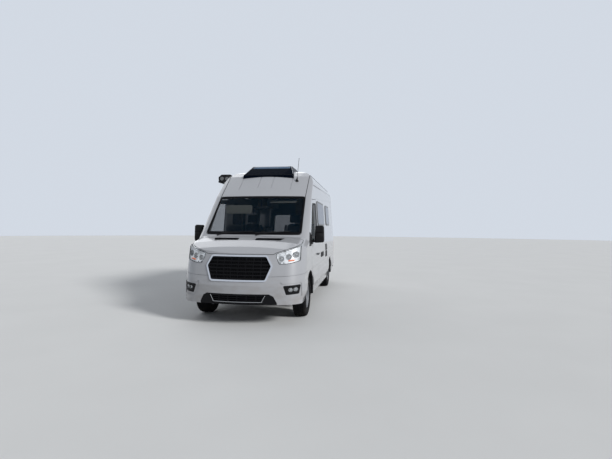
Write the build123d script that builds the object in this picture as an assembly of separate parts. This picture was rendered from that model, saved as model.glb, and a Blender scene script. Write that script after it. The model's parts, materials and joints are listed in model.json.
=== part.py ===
from build123d import *
import math
import os

os.makedirs("parts", exist_ok=True)

# A high-roof panel van converted to a camper. Millimetres. The nose points to -Y, +X is the
# driver's (left) side, Z is up, and the origin is on the ground under the middle of the length.
# A station is a distance behind the front bumper.

# Overall sizes
LENGTH = 5981
HALF_WIDTH = 1029
ROOF_Z = 2781
WALL = 50
NOSE_SKIN = 32
GLASS = 8
PROUD = 12
GAP = 8
HINGE_GAP = 18
FAR = 1300
HIGH = 3200

# Running gear
WHEELBASE = 3750
FRONT_OVERHANG = 1023
WHEEL_R = 356
TRACK_HALF = 866
RIM_R = 203
KINGPIN_X = 745
RUN = 0.3
FRONT_ARCH_R = 450
REAR_ARCH_R = 430
LINER = 12

# Heights
LOW_Z = 300
BUMPER_Z = 350
FLOOR_Z = 660
FLOOR_T = 40
DOOR_LOW_Z = 480
NOSE_TOP_Z = 1440
SCREEN_TOP_Z = 2150
REAR_DOOR_TOP_Z = 2330

# Stations
REAR_FACE = 5900
REAR_WALL = 60
DOOR_FRONT = 1150
DOOR_REAR = 2190
SLIDE_FRONT = 2330
SLIDE_REAR = 3610
BONNET_REAR = 715
FIREWALL = 1200
CAB_FLOOR = 1490


def st(station):
    """Y of a station."""
    return station - LENGTH / 2


FRONT_AXLE = st(FRONT_OVERHANG)
REAR_AXLE = st(FRONT_OVERHANG + WHEELBASE)


# Ways of making solids

def poly(points):
    """Closed flat face through points."""
    return make_face(Polyline(*points, close=True))


def rounded(points, radius):
    """Closed flat face through points with its corners rounded."""
    return fillet(poly(points).vertices(), radius)


def chorded(points, radius, steps):
    """Closed flat face through points, each corner following short chords of an arc."""
    line = []
    for i, point in enumerate(points):
        corner = Vector(*point)
        back = (Vector(*points[i - 1]) - corner).normalized()
        ahead = (Vector(*points[(i + 1) % len(points)]) - corner).normalized()
        half = math.radians(back.get_angle(ahead)) / 2
        centre = corner + (back + ahead).normalized() * (radius / math.sin(half))
        start = corner + back * (radius / math.tan(half))
        end = corner + ahead * (radius / math.tan(half))
        for step in range(steps + 1):
            chord = start + (end - start) * (step / steps) - centre
            place = centre + chord.normalized() * radius
            line.append((place.X, place.Y))
    return poly(line)


def both_ways(points):
    """Points of a right half, followed by their mirror images in reverse order."""
    return points + [(-x, z) for x, z in reversed(points)]


def seen_from_side(pairs):
    """Points given as (station, height), as (Y, Z)."""
    return [(st(s), z) for s, z in pairs]


def prism_x(face, x0, x1):
    """Face drawn as (Y, Z), extruded from x0 to x1."""
    return extrude(Plane(origin=(x0, 0, 0), x_dir=(0, 1, 0), z_dir=(1, 0, 0)) * face, amount=x1 - x0)


def prism_y(face, y0, y1):
    """Face drawn as (X, Z), extruded from y0 to y1."""
    return extrude(Plane(origin=(0, y1, 0), x_dir=(1, 0, 0), z_dir=(0, -1, 0)) * face, amount=y1 - y0)


def prism_z(face, z0, z1):
    """Face drawn as (X, Y), extruded from z0 to z1."""
    return extrude(Plane.XY.offset(z0) * face, amount=z1 - z0)


def block(x0, x1, y0, y1, z0, z1):
    """Box between two corners."""
    return Pos((x0 + x1) / 2, (y0 + y1) / 2, (z0 + z1) / 2) * Box(x1 - x0, y1 - y0, z1 - z0)


def bay(x0, x1, s0, s1, z0, z1):
    """Box between two corners, its ends given as stations."""
    return block(x0, x1, st(s0), st(s1), z0, z1)


def soft(x0, x1, s0, s1, z0, z1, radius):
    """Box with every edge rounded, its ends given as stations."""
    body = bay(x0, x1, s0, s1, z0, z1)
    return fillet(body.edges(), radius)


def rod(start, end, radius):
    """Round bar between two points."""
    a = Vector(*start)
    way = Vector(*end) - a
    return extrude(Plane(origin=a, z_dir=way) * Circle(radius), amount=way.length)


def drum(x0, x1, y, z, radius):
    """Cylinder along X."""
    return rod((x0, y, z), (x1, y, z), radius)


def mirrored(shape):
    """The same shape on the other side of the van."""
    return mirror(shape, about=Plane.YZ)


def group(*shapes):
    """Solids of several shapes as one shape."""
    return Compound(children=[solid for shape in shapes for solid in shape.solids()])


def both(shape):
    """The shape with its mirror image."""
    return group(shape, mirrored(shape))


# The body's form. Half of its cross-section: (half width, height)
SIDE_POINTS = [
    (975, LOW_Z),
    (990, 400),
    (HALF_WIDTH, 520),
    (HALF_WIDTH, 640),
    (HALF_WIDTH - 12, 690),
    (HALF_WIDTH - 12, 800),
    (HALF_WIDTH, 850),
    (HALF_WIDTH, 1060),
    (HALF_WIDTH - 9, 1180),
]
BELT_X, BELT_Z = SIDE_POINTS[-1]
ROOF_SIDE_X, ROOF_SIDE_Z = 928, 2434
ROOF_EDGE_R = 330
ROOF_EDGE_SLOPE = 8.2
LEAN = math.atan2(BELT_X - ROOF_SIDE_X, ROOF_SIDE_Z - BELT_Z)

# Front of the cab and roof: (station on the middle line, height, slope in degrees) of each facet
CAB_FACETS = [
    (755, 1425, 46.5),
    (1457, 2165, 40.5),
    (1920, 2578, 28.0),
    (2175, 2706, 12.0),
]
# Top of the bonnet in the same form
BONNET_FACETS = [
    (105, 1135, 36.0),
    (255, 1244, 24.0),
    (470, 1340, 15.5),
]
SCREEN_R, SCREEN_CORNER = 3300, 190
NOSE_R, NOSE_CORNER = 2400, 420
NOSE_LEAN = 120 / 510
CHIN_Z = 640
CROWN_FALL = 45
CROWN_WIDER = 3
SHOULDER_R = 180
CAB_LOW = 1250
CAB_SOLID = 1500
REAR_CORNER_R = 70
LEAST_CORNER_R = 15
BEFORE_NOSE = -300


def side_x(z):
    """Half width of the body at a height above the belt."""
    return ROOF_SIDE_X + (ROOF_SIDE_Z - z) * math.tan(LEAN)


def section_face(inset, low):
    """Body cross-section inset by a wall thickness, drawn as (X, Z)."""
    centre_x = ROOF_SIDE_X - ROOF_EDGE_R * math.cos(LEAN)
    centre_z = ROOF_SIDE_Z - ROOF_EDGE_R * math.sin(LEAN)
    radius = ROOF_EDGE_R - inset

    def on_edge(angle):
        return (centre_x + radius * math.cos(angle), centre_z + radius * math.sin(angle))

    end = math.radians(90 - ROOF_EDGE_SLOPE)
    side = [(x - inset, z) for x, z in SIDE_POINTS]
    side[0] = (side[0][0], low)
    top = on_edge(end)
    right = Polyline(*side, on_edge(LEAN))
    edge = ThreePointArc(on_edge(LEAN), on_edge((LEAN + end) / 2), top)
    crown = ThreePointArc(top, (0, ROOF_Z - inset), (-top[0], top[1]))
    left = [mirror(part, about=Plane.YZ) for part in (right, edge)]
    base = Line((-side[0][0], low), (side[0][0], low))
    return make_face([right, edge, crown, left[0], left[1], base])


def corner_angle(radius, corner):
    """Angle at which a rounded front's wide arc meets its corner arc."""
    return math.asin((HALF_WIDTH - corner) / (radius - corner))


def plan_face(apex, radius, corner, inset, back):
    """Plan of a rounded front with its apex at y: a wide arc with a tighter arc at each end."""
    angle = corner_angle(radius, corner)
    centre_x = HALF_WIDTH - corner
    centre_y = apex + radius - (radius - corner) * math.cos(angle)
    main, small = radius - inset, corner - inset
    join = (main * math.sin(angle), apex + radius - main * math.cos(angle))
    middle = (angle - math.radians(90)) / 2
    inner = (centre_x + small * math.cos(middle), centre_y + small * math.sin(middle))
    end = (centre_x + small, centre_y)
    front = ThreePointArc((-join[0], join[1]), (0, apex + inset), join)
    right = ThreePointArc(join, inner, end)
    left = ThreePointArc((-join[0], join[1]), (-inner[0], inner[1]), (-end[0], end[1]))
    sides = Polyline(end, (end[0], back), (-end[0], back), (-end[0], end[1]))
    return make_face([front, right, left, sides])


def nose_station(x, z):
    """Station of the nose's skin at a place seen from the front."""
    angle = corner_angle(NOSE_R, NOSE_CORNER)
    lean = max(0, z - CHIN_Z) * NOSE_LEAN
    if abs(x) <= NOSE_R * math.sin(angle):
        return NOSE_R - math.sqrt(NOSE_R**2 - x**2) + lean
    centre = NOSE_R - (NOSE_R - NOSE_CORNER) * math.cos(angle)
    return centre - math.sqrt(NOSE_CORNER**2 - (abs(x) - HALF_WIDTH + NOSE_CORNER) ** 2) + lean


def crown_face(inset):
    """Bonnet cross-section with its top at height 0, drawn as (X, Z)."""
    half, radius = HALF_WIDTH + CROWN_WIDER - inset, SHOULDER_R - inset
    x = half - radius
    diagonal = radius * math.sqrt(0.5)
    low = -2 * FAR
    level = -CROWN_FALL - radius
    arc = ThreePointArc((-x, -CROWN_FALL), (0, 0), (x, -CROWN_FALL))
    right = ThreePointArc((x, -CROWN_FALL), (x + diagonal, level + diagonal), (half, level))
    left = ThreePointArc((-x, -CROWN_FALL), (-x - diagonal, level + diagonal), (-half, level))
    sides = Polyline((half, level), (half, low), (-half, low), (-half, level))
    return make_face([arc, right, left, sides])


def cab_volume(wall):
    """Everything behind the sloping facets of windscreen and roof front."""
    volume = None
    for station, height, slope in CAB_FACETS:
        angle = math.radians(slope)
        rise, drop = (HIGH - height) / math.sin(angle), height / math.sin(angle)
        back = st(REAR_FACE + CAB_SOLID) + drop * math.cos(angle)
        face = plan_face(st(station) + wall / math.sin(angle), SCREEN_R, SCREEN_CORNER, 0, back)
        start = Plane.XY.offset(height) * face
        way = Vector(0, math.cos(angle), math.sin(angle))
        facet = extrude(start, amount=rise, dir=way) + extrude(start, amount=drop, dir=-way)
        volume = facet if volume is None else volume & facet
    above = block(-FAR, FAR, st(0), FAR * 7, CAB_LOW, HIGH)
    behind = block(-FAR, FAR, st(CAB_SOLID), FAR * 7, 0, HIGH)
    return volume & (above + behind)


def nose_volume(wall):
    """Everything under the bonnet's facets and behind the leaning nose."""
    volume = block(-FAR, FAR, st(BEFORE_NOSE), st(CAB_SOLID + WALL), 0, 2 * FAR)
    for station, height, slope in BONNET_FACETS:
        angle = math.radians(slope)
        origin = (0, st(station), height - wall / math.cos(angle))
        start = Plane(origin=origin, x_dir=(1, 0, 0), z_dir=(0, -1, 0)) * crown_face(wall)
        way = Vector(0, math.cos(angle), math.sin(angle))
        facet = extrude(start, amount=2 * FAR, dir=way) + extrude(start, amount=FAR, dir=-way)
        volume = volume & facet
    start = Plane.XY.offset(CHIN_Z) * plan_face(st(0), NOSE_R, NOSE_CORNER, wall, st(CAB_SOLID + FAR))
    way = Vector(0, NOSE_LEAN, 1).normalized()
    below = extrude(start, amount=FAR, dir=Vector(0, 0, -1))
    return volume & (extrude(start, amount=FAR, dir=way) + below)


def body_volume(wall, nose_wall, low):
    """Everything inside the body's skin, at a given depth below it."""
    section = prism_y(section_face(wall, low), st(BEFORE_NOSE), st(REAR_FACE + WALL))
    rear = st(REAR_FACE) - (REAR_WALL if wall > NOSE_SKIN else wall)
    half = HALF_WIDTH + WALL
    plan = poly([(-half, st(BEFORE_NOSE)), (half, st(BEFORE_NOSE)), (half, rear), (-half, rear)])
    corner = max(REAR_CORNER_R - wall, LEAST_CORNER_R) + half - HALF_WIDTH
    plan = fillet(plan.vertices().sort_by(Axis.Y)[-2:], corner)
    return (cab_volume(wall) + nose_volume(nose_wall)) & section & prism_z(plan, 0, HIGH)


outer = body_volume(0, 0, LOW_Z)
glassed = body_volume(GLASS, GLASS, LOW_Z - 2 * GLASS)
inner = body_volume(WALL, NOSE_SKIN, LOW_Z - 2 * WALL)
proud = body_volume(-PROUD, -PROUD, LOW_Z)
shell = outer - inner
skin = outer - glassed

# Outlines of the nose seen from the front, right half where it is symmetrical: (x, height)
LEAD_Z = 1132
BONNET_SIDE = 935
BONNET_SEAM = [(540, LEAD_Z), (592, 1160), (771, 1217), (884, 1257), (BONNET_SIDE, 1292)]
LAMP = [(572, 1112), (592, 1210), (955, 1340), (955, 1025), (783, 979), (640, 970)]
LAMP_R = 28
LAMP_REAR = 640
GRILLE_REAR = 500
GRILLE = [(455, 1119), (548, 948), (455, 708)]
GRILLE_R = 52
CHORDS = 4
RING_W = 26
VALANCE = [(505, 517), (572, 482), (648, BUMPER_Z - 10)]
VALANCE_R = 30
INTAKE = [(432, 490), (388, 398)]
INTAKE_R = 12
FOG = [(712, 645), (968, 658), (945, 512), (760, 502)]
FOG_R = 18
FOG_POCKET = [(655, 745), (700, 672), (975, 686), (985, 470), (735, 462), (655, 600)]
FASCIA_HALF = 672
FASCIA = (900, 1200)
# Bumper seen from the side, and its crease line: (station, height)
BUMPER_LINE = [(-100, LOW_Z), (-100, 979), (640, 979), (790, 690), (790, LOW_Z)]
CREASE = [(-100, 760), (640, 838), (640, 846), (-100, 768)]
# Windscreen
SCREEN = [(840, 2153), (869, 1432)]
SCREEN_CORNER_R = 60
SCREEN_REAR = 1760
# Slot in the bonnet in front of the windscreen, in plan: (x, station)
BONNET_SLOT = [(165, 500), (165, 572), (600, 645), (562, 552)]
SLOT_R = 12


def front_prism(face, rear):
    """Outline seen from the front, from before the nose to a station."""
    return prism_y(face, st(BEFORE_NOSE), st(rear))


def bonnet_space(gap, rear):
    """Space over the bonnet's seam, grown by a gap, as far back as a station."""
    face = poly(both_ways(BONNET_SEAM + [(BONNET_SIDE, HIGH)]))
    if gap:
        face = offset(face, gap, kind=Kind.INTERSECTION)
    return front_prism(face, rear)


def bonnet_top(station):
    """Height of the bonnet's rear facet on the middle line."""
    reference, height, slope = BONNET_FACETS[-1]
    return height + (station - reference) * math.tan(math.radians(slope))


front_arch = drum(-FAR, FAR, FRONT_AXLE, WHEEL_R, FRONT_ARCH_R)
lower = shell & bay(-FAR, FAR, BEFORE_NOSE, DOOR_FRONT - GAP, 0, NOSE_TOP_Z)
lower = lower - front_arch
bonnet_hole = bonnet_space(GAP, BONNET_REAR + HINGE_GAP)
bonnet = lower & bonnet_space(0, BONNET_REAR)
slot_tool = prism_z(fillet(poly([(x, st(s)) for x, s in BONNET_SLOT]).vertices(), SLOT_R), LEAD_Z, HIGH)
bonnet = bonnet - slot_tool - mirrored(slot_tool)
lower = lower - bonnet_hole
COWL_HALF = 880
cowl_tool = bay(-COWL_HALF, COWL_HALF, BONNET_REAR, DOOR_FRONT - WALL, CAB_LOW, NOSE_TOP_Z)
screen_tool = front_prism(rounded(both_ways(SCREEN), SCREEN_CORNER_R), SCREEN_REAR)
cowl_panel = (lower & cowl_tool) - screen_tool
lower = lower - cowl_tool

# Bonnet hinges: a barrel on the bonnet turns on a pin between two ears of the cowl panel
PIN_R, BARREL_R = 4, 7
BARREL_W = 30
EAR_GAP, EAR_T = 6, 6
EAR_FRONT, EAR_REAR = 4, 16
LEAF_LONG = 24
POCKET_LONG = 13
BONNET_PIN_Y = st(BONNET_REAR) + HINGE_GAP / 2
BONNET_PIN_Z = bonnet_top(BONNET_REAR) - 9
BONNET_HINGES_X = (150, -180)
for x in BONNET_HINGES_X:
    height = (BONNET_PIN_Z - BARREL_R + 1, BONNET_PIN_Z + BARREL_R)
    leaf = block(x, x + BARREL_W, BONNET_PIN_Y - LEAF_LONG, BONNET_PIN_Y, *height)
    barrel = leaf + drum(x, x + BARREL_W, BONNET_PIN_Y, BONNET_PIN_Z, BARREL_R)
    bonnet = bonnet + (barrel - drum(x - 1, x + BARREL_W + 1, BONNET_PIN_Y, BONNET_PIN_Z, PIN_R + RUN))
    ends = (x - EAR_GAP - EAR_T, x + BARREL_W + EAR_GAP)
    between = (x - EAR_GAP, x + BARREL_W + EAR_GAP)
    cowl_panel = cowl_panel - block(*between, BONNET_PIN_Y, BONNET_PIN_Y + POCKET_LONG, 0, HIGH)
    for ear in ends:
        reach = (BONNET_PIN_Y - EAR_FRONT, BONNET_PIN_Y + EAR_REAR)
        height = (BONNET_PIN_Z - BARREL_R, BONNET_PIN_Z + BARREL_R)
        cowl_panel = cowl_panel + block(ear, ear + EAR_T, *reach, *height)
    cowl_panel = cowl_panel + drum(ends[0], ends[1] + EAR_T, BONNET_PIN_Y, BONNET_PIN_Z, PIN_R)

# Tools that cut the nose into panels
lamp_tool = front_prism(rounded(LAMP, LAMP_R), LAMP_REAR) - bonnet_hole
lamp_tools = lamp_tool + mirrored(lamp_tool)
grille_face = chorded(both_ways(GRILLE), GRILLE_R, CHORDS)
ring_tool = front_prism(grille_face, GRILLE_REAR)
mesh_tool = front_prism(offset(grille_face, -RING_W, kind=Kind.INTERSECTION), GRILLE_REAR)
valance_tool = front_prism(rounded(both_ways(VALANCE), VALANCE_R), GRILLE_REAR)
intake_tool = front_prism(rounded(both_ways(INTAKE), INTAKE_R), GRILLE_REAR)
fog_tool = front_prism(rounded(FOG, FOG_R), LAMP_REAR)
fog_tools = fog_tool + mirrored(fog_tool)
pocket_tool = front_prism(rounded(FOG_POCKET, FOG_R), LAMP_REAR)
pocket_tools = pocket_tool + mirrored(pocket_tool)
bumper_tool = prism_x(poly(seen_from_side(BUMPER_LINE)), -FAR, FAR)
bumper_tool = bumper_tool + bay(-FASCIA_HALF, FASCIA_HALF, BEFORE_NOSE, GRILLE_REAR, *FASCIA)
crease_tool = prism_x(poly(seen_from_side(CREASE)), -FAR, FAR)
nose_box = bay(-FAR, FAR, BEFORE_NOSE, LAMP_REAR + 150, LOW_Z, NOSE_TOP_Z)
nose_skin = skin & nose_box
nose_core = (glassed - inner) & nose_box

bumper_skin = lower & bumper_tool
front_bumper = bumper_skin - lamp_tools - ring_tool - valance_tool - fog_tools
front_bumper = front_bumper - (nose_skin & (pocket_tools + crease_tool))
front_bumper = front_bumper & bay(-FAR, FAR, BEFORE_NOSE, DOOR_FRONT, BUMPER_Z, NOSE_TOP_Z)
fenders = lower - bumper_tool - lamp_tools
fender_left = fenders & bay(0, FAR, BEFORE_NOSE, DOOR_FRONT, 0, NOSE_TOP_Z)

# Head lamps: (x, height, radius) of each bowl behind the lens
BOWLS = [(668, 1060, 44), (777, 1089, 47), (880, 1126, 50)]
BOWL_DEPTH = 62
BOWL_WALL = 4
BULB_R = 18
BULB_FRONT = 20
# Lamps in each fog bezel, in the same form
FOG_LAMPS = [(825, 580, 32), (898, 584, 32)]


def bowl_side(radius, depth, lead):
    """Half of a bowl's outline from its mouth to its flat bottom, closed along its axis."""
    arc = ThreePointArc((radius, 0), (0.86 * radius, 0.55 * depth), (BULB_R, depth))
    rest = Polyline((BULB_R, depth), (0, depth), (0, -lead), (radius, -lead), (radius, 0))
    return make_face([rest, arc])


def bowl(x, z, radius):
    """Reflector bowl that opens forward with a round lamp at its middle, and the space before it."""
    at = (x, st(nose_station(x + radius, z + radius) + GLASS + BOWL_WALL), z)
    mouth = revolve(bowl_side(radius + BOWL_WALL, BOWL_DEPTH + BOWL_WALL, 1), Axis.Y)
    cup = mouth - revolve(bowl_side(radius, BOWL_DEPTH, 2), Axis.Y)
    cup = cup + rod((0, BULB_FRONT, 0), (0, BOWL_DEPTH + BOWL_WALL, 0), BULB_R - 2)
    return Pos(*at) * cup, rod((x, st(0), z), (x, at[1] + BOWL_DEPTH / 2, z), radius)


lens = nose_skin & lamp_tool
lamp_body = nose_core & lamp_tool
for x, z, radius in BOWLS:
    cup, sight = bowl(x, z, radius)
    lamp_body = lamp_body - sight + cup
fog_bezel = nose_core & fog_tool
fog_lens = []
for x, z, radius in FOG_LAMPS:
    hole = front_prism(Pos(x, z) * Circle(radius), LAMP_REAR)
    fog_lens.append(nose_core & hole)
    fog_bezel = fog_bezel - hole
lamp_lenses = both(group(lens, *fog_lens))
lamp_bodies = both(lamp_body)
fog_bezels = both(fog_bezel)

# Grille: a bright ring round bars and ribs that follow the nose
# Bars of the grille and of the lower intake: first height, pitch, thickness, how many
BARS = (742, 54, 15, 7)
INTAKE_BARS = (418, 32, 11, 3)
# Upright ribs of the grille and of the intake: pitch, width, how many each side of the middle
RIBS = (120, 8, 3)
INTAKE_RIBS = (150, 8, 2)


def bar_pattern(bars, ribs):
    """Level bars crossed by upright ribs."""
    first, pitch, thick, count = bars
    across, wide, sides = ribs
    pattern = None
    for i in range(count):
        bar = bay(-FAR, FAR, BEFORE_NOSE, GRILLE_REAR, first + i * pitch, first + i * pitch + thick)
        pattern = bar if pattern is None else pattern + bar
    for i in range(-sides, sides + 1):
        edge = i * across - wide / 2
        pattern = pattern + bay(edge, edge + wide, BEFORE_NOSE, GRILLE_REAR, LOW_Z, LEAD_Z)
    return pattern


grille_surround = (proud & (ring_tool - mesh_tool)) - inner
grille = nose_core & mesh_tool & bar_pattern(BARS, RIBS)
valance = (nose_core & valance_tool) - intake_tool
valance = valance + (nose_core & intake_tool & bar_pattern(INTAKE_BARS, INTAKE_RIBS))
valance = valance & bay(-FAR, FAR, BEFORE_NOSE, GRILLE_REAR, BUMPER_Z, LEAD_Z)

# Seams and openings seen from the side: (station, height)
DOOR_LINE = [
    (1545, DOOR_LOW_Z),
    (1482, 621),
    (1364, 762),
    (1204, 854),
    (DOOR_FRONT, 890),
    (DOOR_FRONT, 1480),
    (1610, 2100),
    (DOOR_REAR, 2140),
    (DOOR_REAR, DOOR_LOW_Z),
]
DOOR_PANE = [(1255, 1300), (1255, 1450), (1655, 2030), (2120, 2055), (2120, 1290)]
PANE_R = 40
ARCH_TOP_Z = 890
WING_REAR = 1545
# Long grooves in the side: (first station, its height, last station, its height, width)
GROOVES = [(1980, 2417, 5890, 2506, 7), (2230, 2150, 5890, 2330, 6)]
# Ribs pressed into the roof: distance from the middle, width, first and last station
ROOF_RIBS = (135, 515)
ROOF_RIB_W = 16
ROOF_RIB_ENDS = (1660, 5740)
ROOF_SEAM_X = 838
ROOF_LOW_Z = 2000
# Rear doors and their glass seen from behind, right half: (x, height)
DOOR_EDGE = 6
REAR_SILL_Z = 560
REAR_CORNER_X = side_x(REAR_DOOR_TOP_Z) - 62
REAR_DOOR = [
    (DOOR_EDGE, REAR_SILL_Z),
    (950, REAR_SILL_Z),
    (950, 1180),
    (REAR_CORNER_X, REAR_DOOR_TOP_Z),
    (DOOR_EDGE, REAR_DOOR_TOP_Z),
]
REAR_SILL_HALF = 960
REAR_PANE = [(150, 1350), (790, 1350), (760, 1950), (150, 1950)]
REAR_PANE_R = 60
INSIDE = 700

main = shell - bay(-FAR, FAR, BEFORE_NOSE, DOOR_FRONT - GAP, 0, NOSE_TOP_Z)
windscreen = skin & screen_tool
main = main - screen_tool
roof_tool = bay(-ROOF_SEAM_X, ROOF_SEAM_X, DOOR_FRONT, LENGTH, ROOF_LOW_Z, HIGH)
rear_ends = (REAR_FACE - REAR_WALL - 30, LENGTH)
rear_sight = (st(rear_ends[0]), st(rear_ends[1]))
rear_tool = prism_y(poly(REAR_DOOR), *rear_sight)
rear_hole = prism_y(offset(poly(REAR_DOOR), GAP, kind=Kind.INTERSECTION), *rear_sight)
rear_hole = rear_hole + mirrored(rear_hole)
rear_hole = rear_hole + bay(-2 * DOOR_EDGE, 2 * DOOR_EDGE, *rear_ends, REAR_SILL_Z, REAR_DOOR_TOP_Z + GAP)
rear_hole = rear_hole + bay(-REAR_SILL_HALF, REAR_SILL_HALF, *rear_ends, 0, REAR_SILL_Z)
roof_panel = (main & roof_tool) - rear_hole
ribs = None
for x in ROOF_RIBS:
    rib = bay(x - ROOF_RIB_W / 2, x + ROOF_RIB_W / 2, *ROOF_RIB_ENDS, ROOF_LOW_Z, HIGH)
    ribs = rib if ribs is None else ribs + rib
roof_skin = skin & bay(-ROOF_SEAM_X, ROOF_SEAM_X, *ROOF_RIB_ENDS, ROOF_LOW_Z, HIGH)
roof_panel = roof_panel - (roof_skin & ribs) - (roof_skin & mirrored(ribs))

# Left side, cab door and rear door; the right side is made from their mirror images
half_tool = bay(0, FAR, 600, LENGTH, 0, HIGH)
whole_side = main & half_tool
door_face = poly(seen_from_side(DOOR_LINE))
door_tool = prism_x(door_face, INSIDE, FAR)
door_hole = prism_x(offset(door_face, GAP, kind=Kind.INTERSECTION), INSIDE, FAR)
rear_arch = drum(INSIDE, FAR, REAR_AXLE, WHEEL_R, REAR_ARCH_R)
left = whole_side - roof_tool - door_hole - rear_hole - front_arch - rear_arch
wing_tail = left & bay(INSIDE, FAR, DOOR_FRONT - GAP, WING_REAR, DOOR_LOW_Z, ARCH_TOP_Z)
left = left - wing_tail
fender_left = fender_left + wing_tail
side_skin = skin & bay(INSIDE, FAR, SLIDE_FRONT - 400, REAR_FACE, LOW_Z, HIGH)
for first, z0, last, z1, width in GROOVES:
    band = seen_from_side([(first, z0), (last, z1), (last, z1 + width), (first, z0 + width)])
    left = left - (side_skin & prism_x(poly(band), INSIDE, FAR))


HANDLE_Z = (1022, 1056)
HANDLE_OUT = (12, 28)
HANDLE_FOOT = 34
HANDLE_LONG = 220
EDGE_R = 6


def side_handle(station):
    """Pull handle that stands off the body's side on two feet, from a station backwards."""
    end = station + HANDLE_LONG
    grip = soft(HALF_WIDTH + HANDLE_OUT[0], HALF_WIDTH + HANDLE_OUT[1], station, end, *HANDLE_Z, EDGE_R)
    for s in (station + EDGE_R, end - EDGE_R - HANDLE_FOOT):
        foot = (HALF_WIDTH - WALL / 4, HALF_WIDTH + HANDLE_OUT[0] + EDGE_R, s, s + HANDLE_FOOT)
        grip = grip + bay(*foot, HANDLE_Z[0] + EDGE_R, HANDLE_Z[1] - EDGE_R)
    return grip


pane_tool = prism_x(rounded(seen_from_side(DOOR_PANE), PANE_R), INSIDE, FAR)
cab_door_left = (whole_side & door_tool) - pane_tool
cab_door_left = cab_door_left + side_handle(DOOR_REAR - 300)
door_glass_left = skin & pane_tool
# Cab door hinges: a leaf and pin on the wing, in a pocket of the door
DOOR_PIN = (HALF_WIDTH - 6, st(DOOR_FRONT + 6))
DOOR_LEAVES_Z = (905, 1025)
LEAF_T = 10
LEAF_CLEAR = 6
PIN_LONG = 40
POCKET_R = 18
for z in DOOR_LEAVES_Z:
    leaf = block(DOOR_PIN[0] - 11, DOOR_PIN[0] + PIN_R, DOOR_PIN[1] - 36, DOOR_PIN[1] + 5, z, z + LEAF_T)
    fender_left = fender_left + leaf + rod((*DOOR_PIN, z + LEAF_T / 2), (*DOOR_PIN, z + PIN_LONG), PIN_R)
    pocket = rod((*DOOR_PIN, z - LEAF_CLEAR), (*DOOR_PIN, z + LEAF_T + LEAF_CLEAR), POCKET_R)
    bore = rod((*DOOR_PIN, z), (*DOOR_PIN, z + PIN_LONG + LEAF_CLEAR), PIN_R + RUN)
    cab_door_left = cab_door_left - pocket - bore

# Rear door hinges: straps on the door turn on pins of the side wall
REAR_PIN = (985, st(REAR_FACE + 9))
REAR_STRAPS_Z = (720, 1560)
STRAP_W = 40
STRAP_X = (870, 925)
STRAP_CUT = 2.5
rear_pane_tool = prism_y(rounded(REAR_PANE, REAR_PANE_R), *rear_sight)
rear_glass_left = skin & rear_pane_tool
rear_door_left = (whole_side & rear_tool) - rear_pane_tool
for z in REAR_STRAPS_Z:
    strap = block(STRAP_X[0], REAR_PIN[0], st(REAR_FACE) - 4, REAR_PIN[1] + 3, z, z + STRAP_W)
    below = (st(REAR_FACE) - 10, st(REAR_FACE) + STRAP_CUT)
    strap = strap - block(STRAP_X[1], FAR, *below, z - 1, z + STRAP_W + 1)
    strap = strap + rod((*REAR_PIN, z), (*REAR_PIN, z + STRAP_W), BARREL_R)
    strap = strap - rod((*REAR_PIN, z - 1), (*REAR_PIN, z + STRAP_W + 1), PIN_R + RUN)
    rear_door_left = rear_door_left + strap
    top = z + STRAP_W + 5
    reach = (st(REAR_FACE) - 20, REAR_PIN[1] + 5)
    bracket = block(REAR_PIN[0] - 8, REAR_PIN[0] + 3, *reach, top, top + LEAF_T)
    left = left + bracket + rod((*REAR_PIN, z - 5), (*REAR_PIN, top + 5), PIN_R)
TAIL_LAMP = (966, FAR, REAR_FACE - 75, REAR_FACE + 5, 800, 1160)
tail_lamps = both(left & bay(*TAIL_LAMP))
left = left - bay(*TAIL_LAMP)

# Sliding door on the right side, with the slot its rear roller runs in
SLIDE_TOP_Z = 2250
slide_tool = bay(INSIDE, FAR, SLIDE_FRONT, SLIDE_REAR, DOOR_LOW_Z - GAP, SLIDE_TOP_Z)
slide_hole = bay(INSIDE, FAR, SLIDE_FRONT - GAP, SLIDE_REAR + GAP, DOOR_LOW_Z - GAP, SLIDE_TOP_Z + GAP)
SLIDE_SLOT = (SLIDE_REAR + GAP, 5150, 1190, 1222)
slot_skin = side_skin & bay(INSIDE, FAR, *SLIDE_SLOT)
sliding_door = mirrored((left & slide_tool) + side_handle(SLIDE_FRONT + 50))
right = mirrored(left - slide_hole - slot_skin)

# Camper windows: side, first and last station, lowest and highest edge
SIDE_WINDOWS = [
    (1, 2330, 3450, 1640, 2090),
    (1, 4000, 4720, 1660, 2090),
    (-1, 2480, 3420, 1620, 2080),
    (-1, 4000, 4720, 1660, 2090),
]
FRAME_W = 34
FRAME_OUT = 14
PANE_IN = 2
WINDOW_R = 80
frame_span = (st(2000), st(5000))
frame_band = prism_y(section_face(-FRAME_OUT, LOW_Z), *frame_span)
pane_band = frame_band - prism_y(section_face(PANE_IN, LOW_Z), *frame_span)
frame_band = frame_band - outer
frames = []
panes = []
for side, s0, s1, z0, z1 in SIDE_WINDOWS:
    reach = (INSIDE, FAR) if side > 0 else (-FAR, -INSIDE)
    face = rounded(seen_from_side([(s0, z0), (s1, z0), (s1, z1), (s0, z1)]), WINDOW_R)
    hole = prism_x(face, *reach)
    frames.append(frame_band & (prism_x(offset(face, FRAME_W), *reach) - hole))
    panes.append(pane_band & hole)
    if side > 0:
        left = left - hole
    elif s1 < SLIDE_REAR:
        sliding_door = sliding_door - hole
    else:
        right = right - hole

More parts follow.
